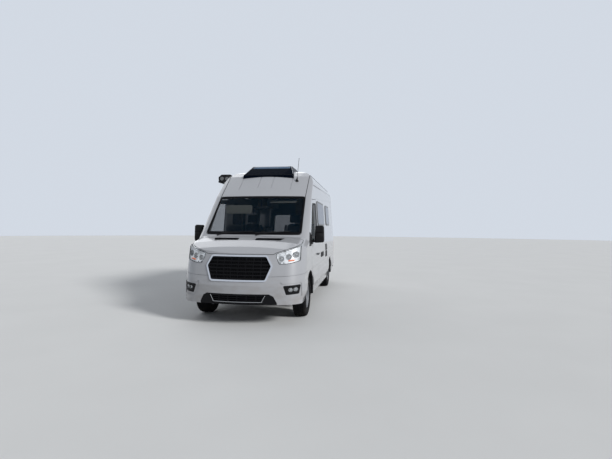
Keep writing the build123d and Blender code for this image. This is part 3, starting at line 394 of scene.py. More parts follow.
@dataclass(frozen=True)
class Rubber:
    """Tyre rubber with patches of brown dust."""

    name: str = "tyre_rubber"
    colour: Colour = (0.006, 0.006, 0.007)
    dust: Colour = (0.16, 0.13, 0.10)

    def material(self) -> bpy.types.Material:
        """Builds the rubber."""
        book = NodeBook(self.name)
        patches = book.noise(9.0, 6.0).step(0.40, 0.75)
        relief = book.noise(420.0, 3.0)
        return book.surface(
            Base_Color=book.blend(patches * 0.07, self.colour, self.dust),
            Roughness=0.78 + patches * 0.15,
            Specular_IOR_Level=0.1,
            Normal=book.bump(relief, 0.0006, 0.6),
        )


@dataclass(frozen=True)
class Glass:
    """Tinted sheet of glass, seen through in part, with a faint film of dust."""

    name: str
    tint: Colour
    opacity: float
    film: float = 0.06
    gloss: float = 0.4
    bend: float = 1.3

    def material(self) -> bpy.types.Material:
        """Builds the glass."""
        book = NodeBook(self.name)
        dust = book.noise(6.0, 6.0).step(0.4, 0.9)
        return book.surface(
            Base_Color=book.blend(dust * self.film, self.tint, (0.35, 0.33, 0.30)),
            Roughness=0.03 + dust * 0.05,
            Alpha=self.opacity + dust * 0.03,
            IOR=self.bend,
            Specular_IOR_Level=self.gloss,
        )


@dataclass(frozen=True)
class Cloth:
    """Woven cloth: two crossing sets of threads with flecks of a second colour."""

    name: str
    colour: Colour
    fleck: Colour
    threads: float = 900.0

    def material(self) -> bpy.types.Material:
        """Builds the cloth."""
        book = NodeBook(self.name)
        x, y, z = book.axes()
        across = ((x + y) * self.threads).join("SINE", (x + y) * self.threads)
        along = ((z + y * 0.4) * self.threads).join("SINE", (z + y * 0.4) * self.threads)
        weave = (across * along) * 0.5 + 0.5
        flecks = book.noise(220.0, 2.0).step(0.55, 0.70)
        return book.surface(
            Base_Color=book.blend(flecks * 0.5, self.colour, self.fleck),
            Roughness=0.88,
            Sheen_Weight=0.35,
            Sheen_Roughness=0.5,
            Normal=book.bump(weave, 0.0006, 0.5),
        )


@dataclass(frozen=True)
class Veneer:
    """Pale wood veneer with level grain."""

    name: str
    pale: Colour
    dark: Colour

    def material(self) -> bpy.types.Material:
        """Builds the veneer."""
        book = NodeBook(self.name)
        bands = book.noise(4.0, 5.0, (0.5, 0.5, 9.0))
        pores = book.noise(70.0, 3.0, (0.15, 0.15, 4.0))
        grain = (bands * 0.75 + pores * 0.25).step(0.35, 0.65)
        return book.surface(
            Base_Color=book.blend(grain, self.dark, self.pale),
            Roughness=0.42 + pores * 0.1,
            Normal=book.bump(pores, 0.0002, 0.5),
        )


@dataclass(frozen=True)
class ScreenGlass:
    """Windscreen: tinted glass inside a printed black border with rounded corners."""

    name: str = "windscreen_glass"
    tint: Colour = (0.001, 0.007, 0.014)
    border: Colour = (0.004, 0.004, 0.005)
    opacity: float = 0.38
    low: float = 1.432
    high: float = 2.153
    half_low: float = 0.869
    half_high: float = 0.840
    side_band: float = 0.034
    top_band: float = 0.040
    foot_band: float = 0.050

    def material(self) -> bpy.types.Material:
        """Builds the glass. The border's mask is the nearest of the distances to the four edges."""
        book = NodeBook(self.name)
        x, _, z = book.axes()
        lean = (self.half_low - self.half_high) / (self.high - self.low)
        side = (z - self.low) * -lean + (self.half_low - self.side_band) - abs(x)
        top = (z * -1.0) + (self.high - self.top_band)
        foot = z - (self.low + self.foot_band)
        inside = side.smaller(top).smaller(foot)
        printed = inside.step(0.004, -0.001)
        dust = book.noise(5.0, 6.0).step(0.45, 0.95)
        return book.surface(
            Base_Color=book.blend(printed, self.tint, self.border),
            Roughness=0.035 + dust * 0.05,
            Alpha=(printed * (1.0 - self.opacity) + self.opacity + dust * 0.02).smaller(1.0),
            IOR=1.16,
            Specular_IOR_Level=0.4,
        )


@dataclass(frozen=True)
class LampShell:
    """Inside of a head lamp: bright reflectors in a grey moulded shell."""

    name: str = "lamp_shell"
    bright: Colour = (0.86, 0.87, 0.88)
    shell: Colour = (0.42, 0.43, 0.44)

    def material(self) -> bpy.types.Material:
        """Builds the shell, with fine upright flutes."""
        book = NodeBook(self.name)
        flutes = book.noise(60.0, 1.0, (1.0, 1.0, 0.1))
        patches = book.noise(9.0, 2.0)
        return book.surface(
            Base_Color=book.blend(patches.step(0.35, 0.65), self.shell, self.bright),
            Metallic=0.55,
            Roughness=0.26 + patches * 0.12,
            Normal=book.bump(flutes, 0.0006, 0.4),
        )


SLOT_FINISHES = {
    "paint": BodyPaint("body_paint", (0.340, 0.343, 0.358)),
    "underbody": Plastic("underbody_coat", (0.035, 0.035, 0.037), roughness=0.80, grain=120.0, depth=0.0015),
    "black_plastic": Plastic("black_trim", (0.006, 0.006, 0.007), roughness=0.60, wear=0.05, gloss=0.18),
    "gloss_black": Plastic("grille_black", (0.003, 0.003, 0.004), roughness=0.45, grain=700.0, depth=0.0001,
                           wear=0.0, gloss=0.15),
    "chrome_ring": Metal("satin_chrome", (0.66, 0.67, 0.70), roughness=0.16, stain=(0.4, 0.4, 0.4),
                         stain_share=0.1, pitting=300.0, depth=0.0001),
    "glazing": Glass("dark_glass", (0.006, 0.026, 0.030), opacity=0.46, film=0.03, bend=1.25),
    "lens": Glass("clear_lens", (0.75, 0.78, 0.80), opacity=0.14, film=0.1),
    "red_lens": Plastic("red_lens", (0.42, 0.012, 0.010), roughness=0.16, grain=90.0, depth=0.0008,
                        wear=0.02, clearcoat=0.8),
    "tyre_rubber": Rubber(),
    "wheel_metal": Metal("wheel_silver", (0.22, 0.225, 0.24), roughness=0.50, metallic=0.35,
                         stain=(0.10, 0.08, 0.06), stain_share=0.5),
    "iron": Metal("cast_iron", (0.10, 0.095, 0.09), roughness=0.62, metallic=0.6, stain=(0.15, 0.08, 0.04),
                  stain_share=0.5, pitting=90.0, depth=0.001),
    "seat_cloth": Cloth("seat_cloth", (0.045, 0.047, 0.052), (0.16, 0.17, 0.18)),
    "cabin_plastic": Plastic("cabin_plastic", (0.030, 0.031, 0.034), roughness=0.62, grain=350.0,
                             depth=0.0004),
    "furniture": Veneer("oak_veneer", (0.56, 0.44, 0.31), (0.40, 0.29, 0.18)),
    "bedding": Cloth("mattress_cloth", (0.52, 0.51, 0.48), (0.40, 0.40, 0.38)),
    "grey_plastic": Plastic("grey_trim", (0.14, 0.145, 0.15), roughness=0.45),
}

PIECE_FINISHES = {finish.name: finish for finish in (
    ScreenGlass(),
    LampShell(),
    Glass("door_glass", (0.006, 0.020, 0.020), opacity=0.14, film=0.02, gloss=0.3, bend=1.18),
    Glass("tinted_pane", (0.075, 0.095, 0.140), opacity=0.90, film=0.05, gloss=0.6),
    Glass("roof_acrylic", (0.001, 0.003, 0.008), opacity=0.98, film=0.005, gloss=0.15, bend=1.07),
    # Lighter navy of the roof window's front roll: painted reflection of the sky in a band along the window's
    # top.
    Plastic("navy_painted_sky_band", (0.080, 0.130, 0.205), roughness=0.22, grain=300.0, depth=0.0001, wear=0.02,
            clearcoat=0.5),
    Plastic("mast_black", (0.005, 0.005, 0.006), roughness=0.55, grain=300.0, depth=0.0002, wear=0.02,
            gloss=0.2),
    # Dull near-black: painted shade for the dark insides of the grille, the lower intake and the bonnet
    # slots.
    Plastic("painted_shade_black", (0.003, 0.003, 0.004), roughness=0.9, grain=90.0, depth=0.0006, wear=0.0,
            gloss=0.05),
    Glass("dark_lens", (0.010, 0.012, 0.016), opacity=0.90, film=0.03),
    Cloth("piping", (0.10, 0.105, 0.11), (0.16, 0.17, 0.18)),
    Plastic("grey_lens", (0.20, 0.22, 0.25), roughness=0.12, grain=400.0, depth=0.0001, wear=0.02,
            clearcoat=0.8),
    Plastic("amber_lens", (0.80, 0.16, 0.03), roughness=0.18, grain=120.0, depth=0.0006, wear=0.02,
            clearcoat=0.8),
    Plastic("frosted_lens", (0.62, 0.64, 0.66), roughness=0.35, grain=160.0, depth=0.0004, wear=0.05,
            clearcoat=0.6),
    Metal("bright_cup", (0.52, 0.53, 0.55), roughness=0.18, stain=(0.5, 0.5, 0.5), stain_share=0.1,
          pitting=200.0, depth=0.0002),
    Metal("satin_lip", (0.62, 0.63, 0.64), metallic=0.9, stain=(0.3, 0.3, 0.3), stain_share=0.2,
          pitting=260.0, depth=0.0001),
    Metal("mirror_silver", (0.80, 0.82, 0.84), roughness=0.04, stain=(0.5, 0.5, 0.5), stain_share=0.1,
          pitting=20.0, depth=0.00002),
    Plastic("rubber_seal", (0.007, 0.007, 0.008), roughness=0.75, grain=260.0, wear=0.03, gloss=0.15),
    Cloth("visor_cloth", (0.30, 0.31, 0.28), (0.24, 0.25, 0.23)),
    Plastic("smoked_lid", (0.05, 0.05, 0.055), roughness=0.25, grain=240.0, depth=0.0002, wear=0.10,
            clearcoat=0.5),
    Plastic("door_laminate", (0.58, 0.57, 0.54), roughness=0.35, grain=300.0, depth=0.0001, wear=0.05,
            clearcoat=0.3),
)}

NODE_FINISHES = {
    "windscreen": "windscreen_glass",
    "lamp_bodies": "lamp_shell",
    "door_glass_left": "door_glass",
    "door_glass_right": "door_glass",
    "camper_panes": "tinted_pane",
    "skylight": "roof_acrylic",
    "aerials": "mast_black",
    "wipers": "rubber_seal",
}


class Dresser:
    """Gives every carried-over CAD node its finish, and hands out finishes for new pieces."""

    def __init__(self) -> None:
        """Starts with no finish built."""
        self.built = {}

    def material(self, name: str) -> bpy.types.Material:
        """The material of a finish, built when it is first asked for.

        Args:
            name: Material slot, or name of a piece's own finish.

        Returns:
            The material.
        """
        if name not in self.built:
            self.built[name] = (SLOT_FINISHES.get(name) or PIECE_FINISHES[name]).material()
        return self.built[name]

    def dress(self) -> None:
        """Assigns the materials of the nodes."""
        slots = {part["node"]: part["material_slot"] for part in frame["record"]["subparts"]}
        for name, node in frame["nodes"].items():
            node.data.materials.clear()
            node.data.materials.append(self.material(NODE_FINISHES.get(name, slots[name])))
        LOG.info("dressed %d nodes", len(slots))


@dataclass
class Studio:
    """Pale floor, soft lights and the camera at the photograph's angle."""

    focal_pixels: float = 396.8
    frame_width: int = 612
    camera_x: float = 1.993
    camera_behind_nose: float = -5.9415
    camera_height: float = 1.549
    yaw: float = math.radians(8.65)
    pitch: float = math.radians(-0.18)
    roll: float = math.radians(0.437)
    floor_rings: tuple = (0.001, 6.0, 20.0, 70.0)
    floor_sides: int = 96
    floor_pale: Colour = (0.66, 0.66, 0.65)
    floor_dark: Colour = (0.60, 0.60, 0.59)
    sky: Colour = (0.77, 0.83, 0.92)
    sky_light: float = 0.38
    sky_gain: float = 0.46
    key_light: float = 2.95
    key_way: tuple = (0.90, -0.42, 0.56)
    key_spread: float = 14.0
    fill_light: float = 0.7
    fill_way: tuple = (-0.55, 0.80, 0.50)
    fill_spread: float = 60.0

    def build(self) -> None:
        """Makes the floor, the world, the lights and the camera."""
        self.lay_floor()
        self.light()
        self.set_camera()

    def lay_floor(self) -> None:
        """A flat disc, made as rings of points: radius times cosine and sine of the angle."""
        angle = np.linspace(0.0, 2.0 * np.pi, self.floor_sides + 1)[:-1]
        radius = np.array(self.floor_rings)[:, None]
        grid = np.stack([radius * np.cos(angle), radius * np.sin(angle), 0.0 * radius * angle], axis=-1)
        rows, columns = grid.shape[:2]
        mesh = bpy.data.meshes.new("floor")
        first = (np.arange(rows - 1)[:, None] * columns + np.arange(columns)[None, :]).ravel()
        turn = np.where(first % columns == columns - 1, 1 - columns, 1)
        faces = np.stack([first, first + columns, first + columns + turn, first + turn], axis=-1)
        mesh.from_pydata(grid.reshape(-1, 3).tolist(), [], faces[:, ::-1].tolist())
        floor = bpy.data.objects.new("floor", mesh)
        bpy.context.scene.collection.objects.link(floor)
        book = NodeBook("pale_floor")
        tone = book.blend(book.noise(0.7, 4.0), self.floor_dark, self.floor_pale)
        mesh.materials.append(book.surface(Base_Color=tone, Roughness=0.9))

    def light(self) -> None:
        """An even pale world, brighter where it is only seen, one large soft key and a faint fill."""
        world = bpy.data.worlds.new("studio")
        bpy.context.scene.world = world
        book = NodeBook("studio", world)
        rays = book.add("ShaderNodeLightPath")
        seen, glossy, through = (Number(book, rays.outputs[name])
                                 for name in ("Is Camera Ray", "Is Glossy Ray", "Is Transmission Ray"))
        strength = seen.larger(glossy).larger(through) * self.sky_gain + self.sky_light
        sky = book.add("ShaderNodeBackground", None, {0: (*self.sky, 1.0), 1: strength})
        book.add("ShaderNodeOutputWorld", None, {0: sky.outputs[0]})
        self.lamp("key", self.key_light, self.key_way, self.key_spread)
        self.lamp("fill", self.fill_light, self.fill_way, self.fill_spread)

    def lamp(self, name: str, strength: float, way: Sequence[float], spread: float) -> None:
        """Adds a far lamp.

        Args:
            name: Name of the lamp.
            strength: Its strength.
            way: Direction from the object to the lamp.
            spread: Its apparent width in degrees.
        """
        data = bpy.data.lights.new(name, "SUN")
        data.energy = strength
        data.angle = math.radians(spread)
        lamp = bpy.data.objects.new(name, data)
        lamp.rotation_euler = Vector(way).to_track_quat("Z", "Y").to_euler()
        bpy.context.scene.collection.objects.link(lamp)

    def set_camera(self) -> None:
        """Places the camera where the photograph was taken from."""
        data = bpy.data.cameras.new("photo_camera")
        data.sensor_width = 36.0
        data.lens = self.focal_pixels / self.frame_width * data.sensor_width
        forward = Vector((
            -math.sin(self.yaw) * math.cos(self.pitch),
            math.cos(self.yaw) * math.cos(self.pitch),
            math.sin(self.pitch),
        ))
        level = Vector((math.cos(self.yaw), math.sin(self.yaw), 0.0))
        upright = level.cross(forward)
        right = level * math.cos(self.roll) + upright * math.sin(self.roll)
        up = right.cross(forward)
        turn = Matrix((right, up, -forward)).transposed().to_4x4()
        place = Vector((self.camera_x, station(self.camera_behind_nose), self.camera_height))
        camera = bpy.data.objects.new("photo_camera", data)
        camera.matrix_world = Matrix.Translation(place) @ turn
        bpy.context.scene.collection.objects.link(camera)
        bpy.context.scene.camera = camera


class Wrap(Enum):
    """How the rows and columns of a grid of points join up."""

    OPEN = "open"
    TUBE = "tube"
    RING = "ring"


@dataclass
class Patch:
    """A grid of points with the way its edges join, and which of them are sewn down, if any."""

    points: np.ndarray
    wrap: Wrap = Wrap.OPEN
    capped: bool = False
    sewn: Optional[np.ndarray] = None

    def mesh(self) -> tuple:
        """Points and faces of the grid.

        Returns:
            The vertices as an array, and the faces as lists of indices.
        """
        rows, columns = self.points.shape[:2]
        row = np.arange(rows if self.wrap is Wrap.RING else rows - 1)
        column = np.arange(columns - 1 if self.wrap is Wrap.OPEN else columns)
        here, below = row[:, None] * columns, ((row + 1) % rows)[:, None] * columns
        side, beside = column[None, :], ((column + 1) % columns)[None, :]
        quads = np.stack([here + side, here + beside, below + beside, below + side], axis=-1)
        vertices = self.points.reshape(-1, 3)
        faces = quads.reshape(-1, 4).tolist()
        if self.capped:
            middles = np.stack([self.points[0].mean(axis=0), self.points[-1].mean(axis=0)])
            count = len(vertices)
            vertices = np.concatenate([vertices, middles])
            first = np.broadcast_to(np.stack([beside[0], side[0]], axis=-1), (len(column), 2))
            last = first + (rows - 1) * columns
            near = np.column_stack([np.full(len(column), count), first])
            far = np.column_stack([np.full(len(column), count + 1), last[:, ::-1]])
            faces += near.tolist() + far.tolist()
        return vertices, faces


def unit(vectors: np.ndarray) -> np.ndarray:
    """Vectors scaled to length 1."""
    return vectors / np.maximum(np.linalg.norm(vectors, axis=-1, keepdims=True), 1e-12)


def smooth_path(points: Sequence[Sequence[float]], count: int) -> np.ndarray:
    """Smooth path through points: a Catmull-Rom curve, each piece a cubic of its four nearest points.

    Args:
        points: Points that the path runs through.
        count: Number of points on the result.

    Returns:
        The path's points.
    """
    line = np.asarray(points, dtype=float)
    padded = np.concatenate([2 * line[:1] - line[1:2], line, 2 * line[-1:] - line[-2:-1]])
    place = np.linspace(0.0, len(line) - 1.0, count)
    piece = np.minimum(place.astype(int), len(line) - 2)
    t = (place - piece)[:, None]
    a, b, c, d = (padded[piece + k] for k in range(4))
    cubic = (2 * b) + (c - a) * t + (2 * a - 5 * b + 4 * c - d) * t**2 + (3 * b - a - 3 * c + d) * t**3
    return 0.5 * cubic


def round_loop(corners: Sequence[Sequence[float]], radius: float, steps: int = 10) -> np.ndarray:
    """Closed path through corners, each one rounded by a curve of second degree.

    A corner's curve is (1-t)^2 of the point before it, 2t(1-t) of the corner and t^2 of the point after.

    Args:
        corners: The corners in order.
        radius: Distance from a corner at which its curve starts and ends.
        steps: Points on each curve.

    Returns:
        The path's points.
    """
    line = np.asarray(corners, dtype=float)
    before = line + radius * unit(np.roll(line, 1, axis=0) - line)
    after = line + radius * unit(np.roll(line, -1, axis=0) - line)
    t = np.linspace(0.0, 1.0, steps)[None, :, None]
    arcs = (1 - t) ** 2 * before[:, None] + 2 * t * (1 - t) * line[:, None] + t**2 * after[:, None]
    ahead = np.roll(before, -1, axis=0)
    share = np.linspace(0.0, 1.0, steps + 2)[None, 1:-1, None]
    runs = after[:, None] * (1 - share) + ahead[:, None] * share
    return np.concatenate([arcs, runs], axis=1).reshape(-1, line.shape[1])


def four_corners(corners: Sequence[Any], rows: int, columns: int) -> np.ndarray:
    """Grid drawn between four corners.

    A point is (1-u)((1-v)a + vb) + u((1-v)d + vc), for corners a, b, c and d in order round the grid.

    Args:
        corners: The corners in order.
        rows: Points from the first corner towards the last.
        columns: Points from the first corner towards the second.

    Returns:
        The grid's points.
    """
    a, b, c, d = (np.asarray(corner, dtype=float) for corner in corners)
    u = np.linspace(0.0, 1.0, rows)[:, None, None]
    v = np.linspace(0.0, 1.0, columns)[None, :, None]
    return (a * (1 - v) + b * v) * (1 - u) + (d * (1 - v) + c * v) * u


def tube(path: Any, radius: Any, sides: int = 12, closed: bool = False, squash: float = 1.0) -> Patch:
    """Round bar along a path: at each point, radius times cosine and sine across the path.

    Args:
        path: Points of the path.
        radius: One radius, or one for each point.
        sides: Points round the bar.
        closed: Whether the path returns to its start.
        squash: Height of the section as a share of its width.

    Returns:
        The bar's surface.
    """
    line = np.asarray(path, dtype=float)
    if closed:
        way = unit(np.roll(line, -1, axis=0) - np.roll(line, 1, axis=0))
    else:
        way = unit(np.gradient(line, axis=0))
    axis = np.eye(3)[np.argmin(np.abs(way).mean(axis=0))]
    across = unit(np.cross(way, axis))
    up = np.cross(across, way)
    angle = np.linspace(0.0, 2.0 * np.pi, sides + 1)[:-1]
    reach = np.broadcast_to(np.asarray(radius, dtype=float), (len(line),))[:, None, None]
    cosine, sine = np.cos(angle)[None, :, None], np.sin(angle)[None, :, None]
    ring = cosine * across[:, None] + squash * sine * up[:, None]
    return Patch(line[:, None] + reach * ring, Wrap.RING if closed else Wrap.TUBE, not closed)


def lathe(profile: Sequence[tuple], centre: Sequence[float], axis: Sequence[float], count: int = 32,
          ring: bool = False) -> Patch:
    """Turned shape: each (along, radius) of the profile swept once round the axis.

    Args:
        profile: Pairs of distance along the axis and radius.
        centre: Point on the axis where the distance is 0.
        axis: Direction of the axis.
        count: Points round the axis.
        ring: Whether the profile closes on itself.

    Returns:
        The turned surface.
    """
    along, radius = np.asarray(profile, dtype=float).T
    way = unit(np.asarray(axis, dtype=float))
    side = unit(np.cross(way, np.eye(3)[np.argmin(np.abs(way))]))
    up = np.cross(way, side)
    angle = np.linspace(0.0, 2.0 * np.pi, count + 1)[:-1]
    turn = np.cos(angle)[:, None] * side + np.sin(angle)[:, None] * up
    points = np.asarray(centre, dtype=float) + along[:, None, None] * way + radius[:, None, None] * turn[None]
    return Patch(points, Wrap.RING if ring else Wrap.TUBE, not ring)


def soft_box(low: Sequence[float], high: Sequence[float], radius: float, steps: int = 3) -> Patch:
    """Box with round edges: a small sphere's points, each pushed out to the corner it faces.

    Args:
        low: Lowest corner.
        high: Highest corner.
        radius: Radius of the edges.
        steps: Points on each quarter of an edge.

    Returns:
        The closed surface.
    """
    low, high = np.asarray(low, dtype=float), np.asarray(high, dtype=float)
    centre, half = (low + high) / 2, (high - low) / 2
    radius = min(radius, float(half.min()) * 0.98)
    quarter = np.linspace(0.0, np.pi / 2, steps + 1)
    turn = np.concatenate([quarter + k * np.pi / 2 for k in range(4)])
    signs = np.repeat([[1, 1], [-1, 1], [-1, -1], [1, -1]], steps + 1, axis=0)
    rise = np.concatenate([quarter - np.pi / 2, quarter])
    lift = np.repeat([-1.0, 1.0], steps + 1)
    ball = np.stack([
        np.cos(rise)[:, None] * np.cos(turn),
        np.cos(rise)[:, None] * np.sin(turn),
        np.sin(rise)[:, None] * np.ones_like(turn),
    ], axis=-1)
    corner = np.stack([
        np.broadcast_to(signs[:, 0], ball.shape[:2]),
        np.broadcast_to(signs[:, 1], ball.shape[:2]),
        np.broadcast_to(lift[:, None], ball.shape[:2]),
    ], axis=-1)
    return Patch(centre + corner * (half - radius) + radius * ball, Wrap.TUBE, True)


def block(x: Sequence[float], along: Sequence[float], z: Sequence[float], radius: float,
          sign: float = 1.0) -> Patch:
    """Box with round edges between two stations.

    Args:
        x: Its two sides.
        along: Stations of its front and back.
        z: Heights of its foot and top.
        radius: Radius of the edges.
        sign: -1 to put it on the other side of the van.

    Returns:
        The closed surface.
    """
    left, right = sorted((sign * x[0], sign * x[1]))
    return soft_box((left, station(along[0]), z[0]), (right, station(along[1]), z[1]), radius)


def tilted(patch: Patch, pivot: Sequence[float], angle: float) -> Patch:
    """A patch turned about an axis along X.

    Args:
        patch: The surface.
        pivot: Point that stays in place.
        angle: Turn in radians, from Y towards Z.

    Returns:
        The turned surface.
    """
    pivot = np.asarray(pivot, dtype=float)
    cosine, sine = math.cos(angle), math.sin(angle)
    turn = np.array([[1.0, 0.0, 0.0], [0.0, cosine, sine], [0.0, -sine, cosine]])
    return Patch(pivot + (patch.points - pivot) @ turn, patch.wrap, patch.capped, patch.sewn)


def cushion(centre: Sequence[float], size: Sequence[float], crown: float = 0.02, pull: float = 0.03,
            channels: Sequence[float] = (), tilt: float = 0.0, detail: int = 16) -> Patch:
    """Crowned cushion: a squared disc whose faces bulge and whose sides pull in between the corners.

    In plan it is a square of half width t, with |x|^8 + |y|^8 = t^8; its half thickness is
    (1 - t^6)^0.4, so the edges are round. The faces bulge with the product of the two level
    cosines, the sides draw in half way along, and each sewn channel is a bell-shaped valley
    across both faces. The rim and the bottoms of the valleys are sewn down.

    Args:
        centre: Middle of the cushion.
        size: Width, length and thickness.
        crown: Rise of the middle over the edges, in metres.
        pull: Share by which the sides pull in.
        channels: Places of the channels from -1 to 1 along its length.
        tilt: Turn about X in radians; a quarter turn stands it up with its top to the front.
        detail: Points from the middle to the rim, and on a quarter of the rim.

    Returns:
        The closed surface.
    """
    half = np.asarray(size, dtype=float) / 2
    walk = np.linspace(0.0, 8.0, 4 * detail + 1)[:-1]
    square_x = np.interp(walk, (0, 1, 3, 5, 7, 8), (1, 1, -1, -1, 1, 1))
    square_y = np.interp(walk, (0, 1, 3, 5, 7, 8), (0, 1, 1, -1, -1, 0))
    shrink = (square_x**8 + square_y**8) ** -0.125
    t = np.sin(np.linspace(0.02, 1.0, detail) * np.pi / 2)
    t = np.concatenate([t, t[-2::-1]])[:, None]
    side = np.concatenate([np.full(detail - 1, -1.0), np.full(detail, 1.0)])[:, None]
    x, y = t * square_x * shrink, t * square_y * shrink
    z = side * (1.0 - t**6).clip(0.0, 1.0) ** 0.4 * np.ones_like(x)
    valley = sum((np.exp(-(((y - place) / 0.07) ** 2)) for place in channels), np.zeros_like(x))
    bulge = np.cos(x * np.pi / 2) * np.cos(y * np.pi / 2)
    rise = z * (half[2] - crown + bulge * crown - valley * 0.009)
    points = np.stack([
        x * half[0] * (1.0 - pull * np.cos(y * np.pi / 2)),
        y * half[1] * (1.0 - pull * np.cos(x * np.pi / 2)),
        rise,
    ], axis=-1)
    sewn = (valley > 0.75) | (t > 0.999)
    patch = Patch(np.asarray(centre, dtype=float) + points, Wrap.TUBE, True, sewn)
    return tilted(patch, centre, tilt)


def piping(pads: Sequence[Patch]) -> list:
    """Round cord of 7 mm sewn along the rim of each cushion."""
    return [tube(pad.points[len(pad.points) // 2], 0.0035, 6, True) for pad in pads]


class Skin:
    """The triangles of some CAD nodes, on which points can be set down."""

    def __init__(self, *nodes: str) -> None:
        """Reads the nodes' triangles into arrays.

        Args:
            *nodes: Names of the CAD nodes.
        """
        corners = []
        for name in nodes:
            mesh = frame["nodes"][name].data
            mesh.calc_loop_triangles()
            places = np.empty(len(mesh.vertices) * 3)
            mesh.vertices.foreach_get("co", places)
            index = np.empty(len(mesh.loop_triangles) * 3, dtype=np.int32)
            mesh.loop_triangles.foreach_get("vertices", index)
            corners.append(places.reshape(-1, 3)[index].reshape(-1, 3, 3))
        self.corners = np.concatenate(corners)

    def cast(self, starts: Any, way: Sequence[float], lift: float = 0.0) -> np.ndarray:
        """First place where a ray from each point meets the triangles, raised back along the ray.

        The distance solves start + t * way = a point of the triangle, by the usual triple products.

        Args:
            starts: Points that the rays leave from.
            way: Direction of every ray.
            lift: Distance to stop short of the surface.

        Returns:
            The places; a ray that meets nothing takes the distance of its nearest neighbour.
        """
        start = np.asarray(starts, dtype=float).reshape(-1, 3)
        way = unit(np.asarray(way, dtype=float))
        base, first, second = self.corners[:, 0], *(self.corners[:, k] - self.corners[:, 0] for k in (1, 2))
        cross = np.cross(way, second)
        scale = np.einsum("ij,ij->i", first, cross)
        good = np.abs(scale) > 1e-14
        base, first, second, cross, scale = (a[good] for a in (base, first, second, cross, scale))
        gap = start[:, None] - base[None]
        u = np.einsum("nij,ij->ni", gap, cross) / scale
        turned = np.cross(gap, first[None])
        v = np.einsum("nij,j->ni", turned, way) / scale
        t = np.einsum("nij,ij->ni", turned, second) / scale
        hit = (u >= -1e-6) & (v >= -1e-6) & (u + v <= 1 + 1e-6) & (t > 0)
        distance = np.where(hit, t, np.inf).min(axis=1)
        found = np.isfinite(distance)
        order = np.arange(len(distance))
        if found.any() and not found.all():
            nearest = np.abs(order[:, None] - order[found][None]).argmin(axis=1)
            distance = np.where(found, distance, distance[found][nearest])
        return start + (distance - lift)[:, None] * way

    def from_front(self, view: Any, ahead: float, lift: float = 0.0) -> np.ndarray:
        """Sets points of the front view on the skin.

        Args:
            view: Points as (x, height).
            ahead: Station that the rays leave from.
            lift: Distance to stop short of the surface.

        Returns:
            The points on the skin.
        """
        x, z = np.asarray(view, dtype=float).reshape(-1, 2).T
        return self.cast(np.column_stack([x, np.full(len(x), station(ahead)), z]), (0, 1, 0), lift)

    def from_side(self, view: Any, sign: float, lift: float = 0.0) -> np.ndarray:
        """Sets points of a side view on the skin.

        Args:
            view: Points as (station, height).
            sign: 1 on the left side, -1 on the right.
            lift: Distance to stop short of the surface.

        Returns:
            The points on the skin.
        """
        along, z = np.asarray(view, dtype=float).reshape(-1, 2).T
        starts = np.column_stack([np.full(len(z), sign * BESIDE), station(along), z])
        return self.cast(starts, (-sign, 0, 0), lift)

    def from_above(self, view: Any, lift: float = 0.0) -> np.ndarray:
        """Sets points of the top view on the skin.

        Args:
            view: Points as (x, station).
            lift: Distance to stop short of the surface.

        Returns:
            The points on the skin.
        """
        x, along = np.asarray(view, dtype=float).reshape(-1, 2).T
        return self.cast(np.column_stack([x, station(along), np.full(len(x), ABOVE)]), (0, 0, -1), lift)


@dataclass
class Workshop:
    """Turns patches into named objects and files each one on its body."""

    dresser: Dresser
    count: int = 0
    weld: float = 1e-6
    sliver: float = 1e-7
    sharp: float = math.radians(38.0)

    def add(self, name: str, patches: Sequence[Patch], body: str, slot: str, finish: Optional[str] = None,
            smooth: bool = True, thickness: float = 0.0) -> bpy.types.Object:
        """Makes one piece.

        Args:
            name: Name of the piece.
            patches: Its surfaces.
            body: Body that it rides on.
            slot: Material slot of the record.
            finish: Finish, where it isn't the slot's own.
            smooth: Whether it is shaded smooth between sharp edges.
            thickness: Wall to add to an open surface, in metres.

        Returns:
            The piece.
        """
        vertices, faces, start = [], [], 0
        for patch in patches:
            points, sides = patch.mesh()
            vertices.append(points)
            faces += [[index + start for index in side] for side in sides]
            start += len(points)
        mesh = bpy.data.meshes.new(name)
        mesh.from_pydata(np.concatenate(vertices).tolist(), [], faces)
        work = bmesh.new()
        work.from_mesh(mesh)
        bmesh.ops.remove_doubles(work, verts=work.verts, dist=self.weld)
        bmesh.ops.dissolve_degenerate(work, dist=self.sliver, edges=work.edges)
        bmesh.ops.recalc_face_normals(work, faces=work.faces)
        work.to_mesh(mesh)
        work.free()
        piece = bpy.data.objects.new(name, mesh)
        bpy.context.scene.collection.objects.link(piece)
        mesh.materials.append(self.dresser.material(finish or slot))
        if smooth:
            mesh.shade_smooth()
            mesh.set_sharp_from_angle(angle=self.sharp)
        if thickness:
            wall = piece.modifiers.new("wall", "SOLIDIFY")
            wall.thickness = thickness
            wall.offset = 0.0
        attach(piece, body)
        self.count += 1
        LOG.info("%s: %d faces on %s", name, len(mesh.polygons), body)
        return piece


def grid_key(points: np.ndarray) -> np.ndarray:
    """One whole number for each point, the same for points less than a hundredth of a millimetre apart."""
    steps = np.round(points * 1e5).astype(np.int64)
    return (steps[:, 0] * 2000003 + steps[:, 1]) * 2000003 + steps[:, 2]


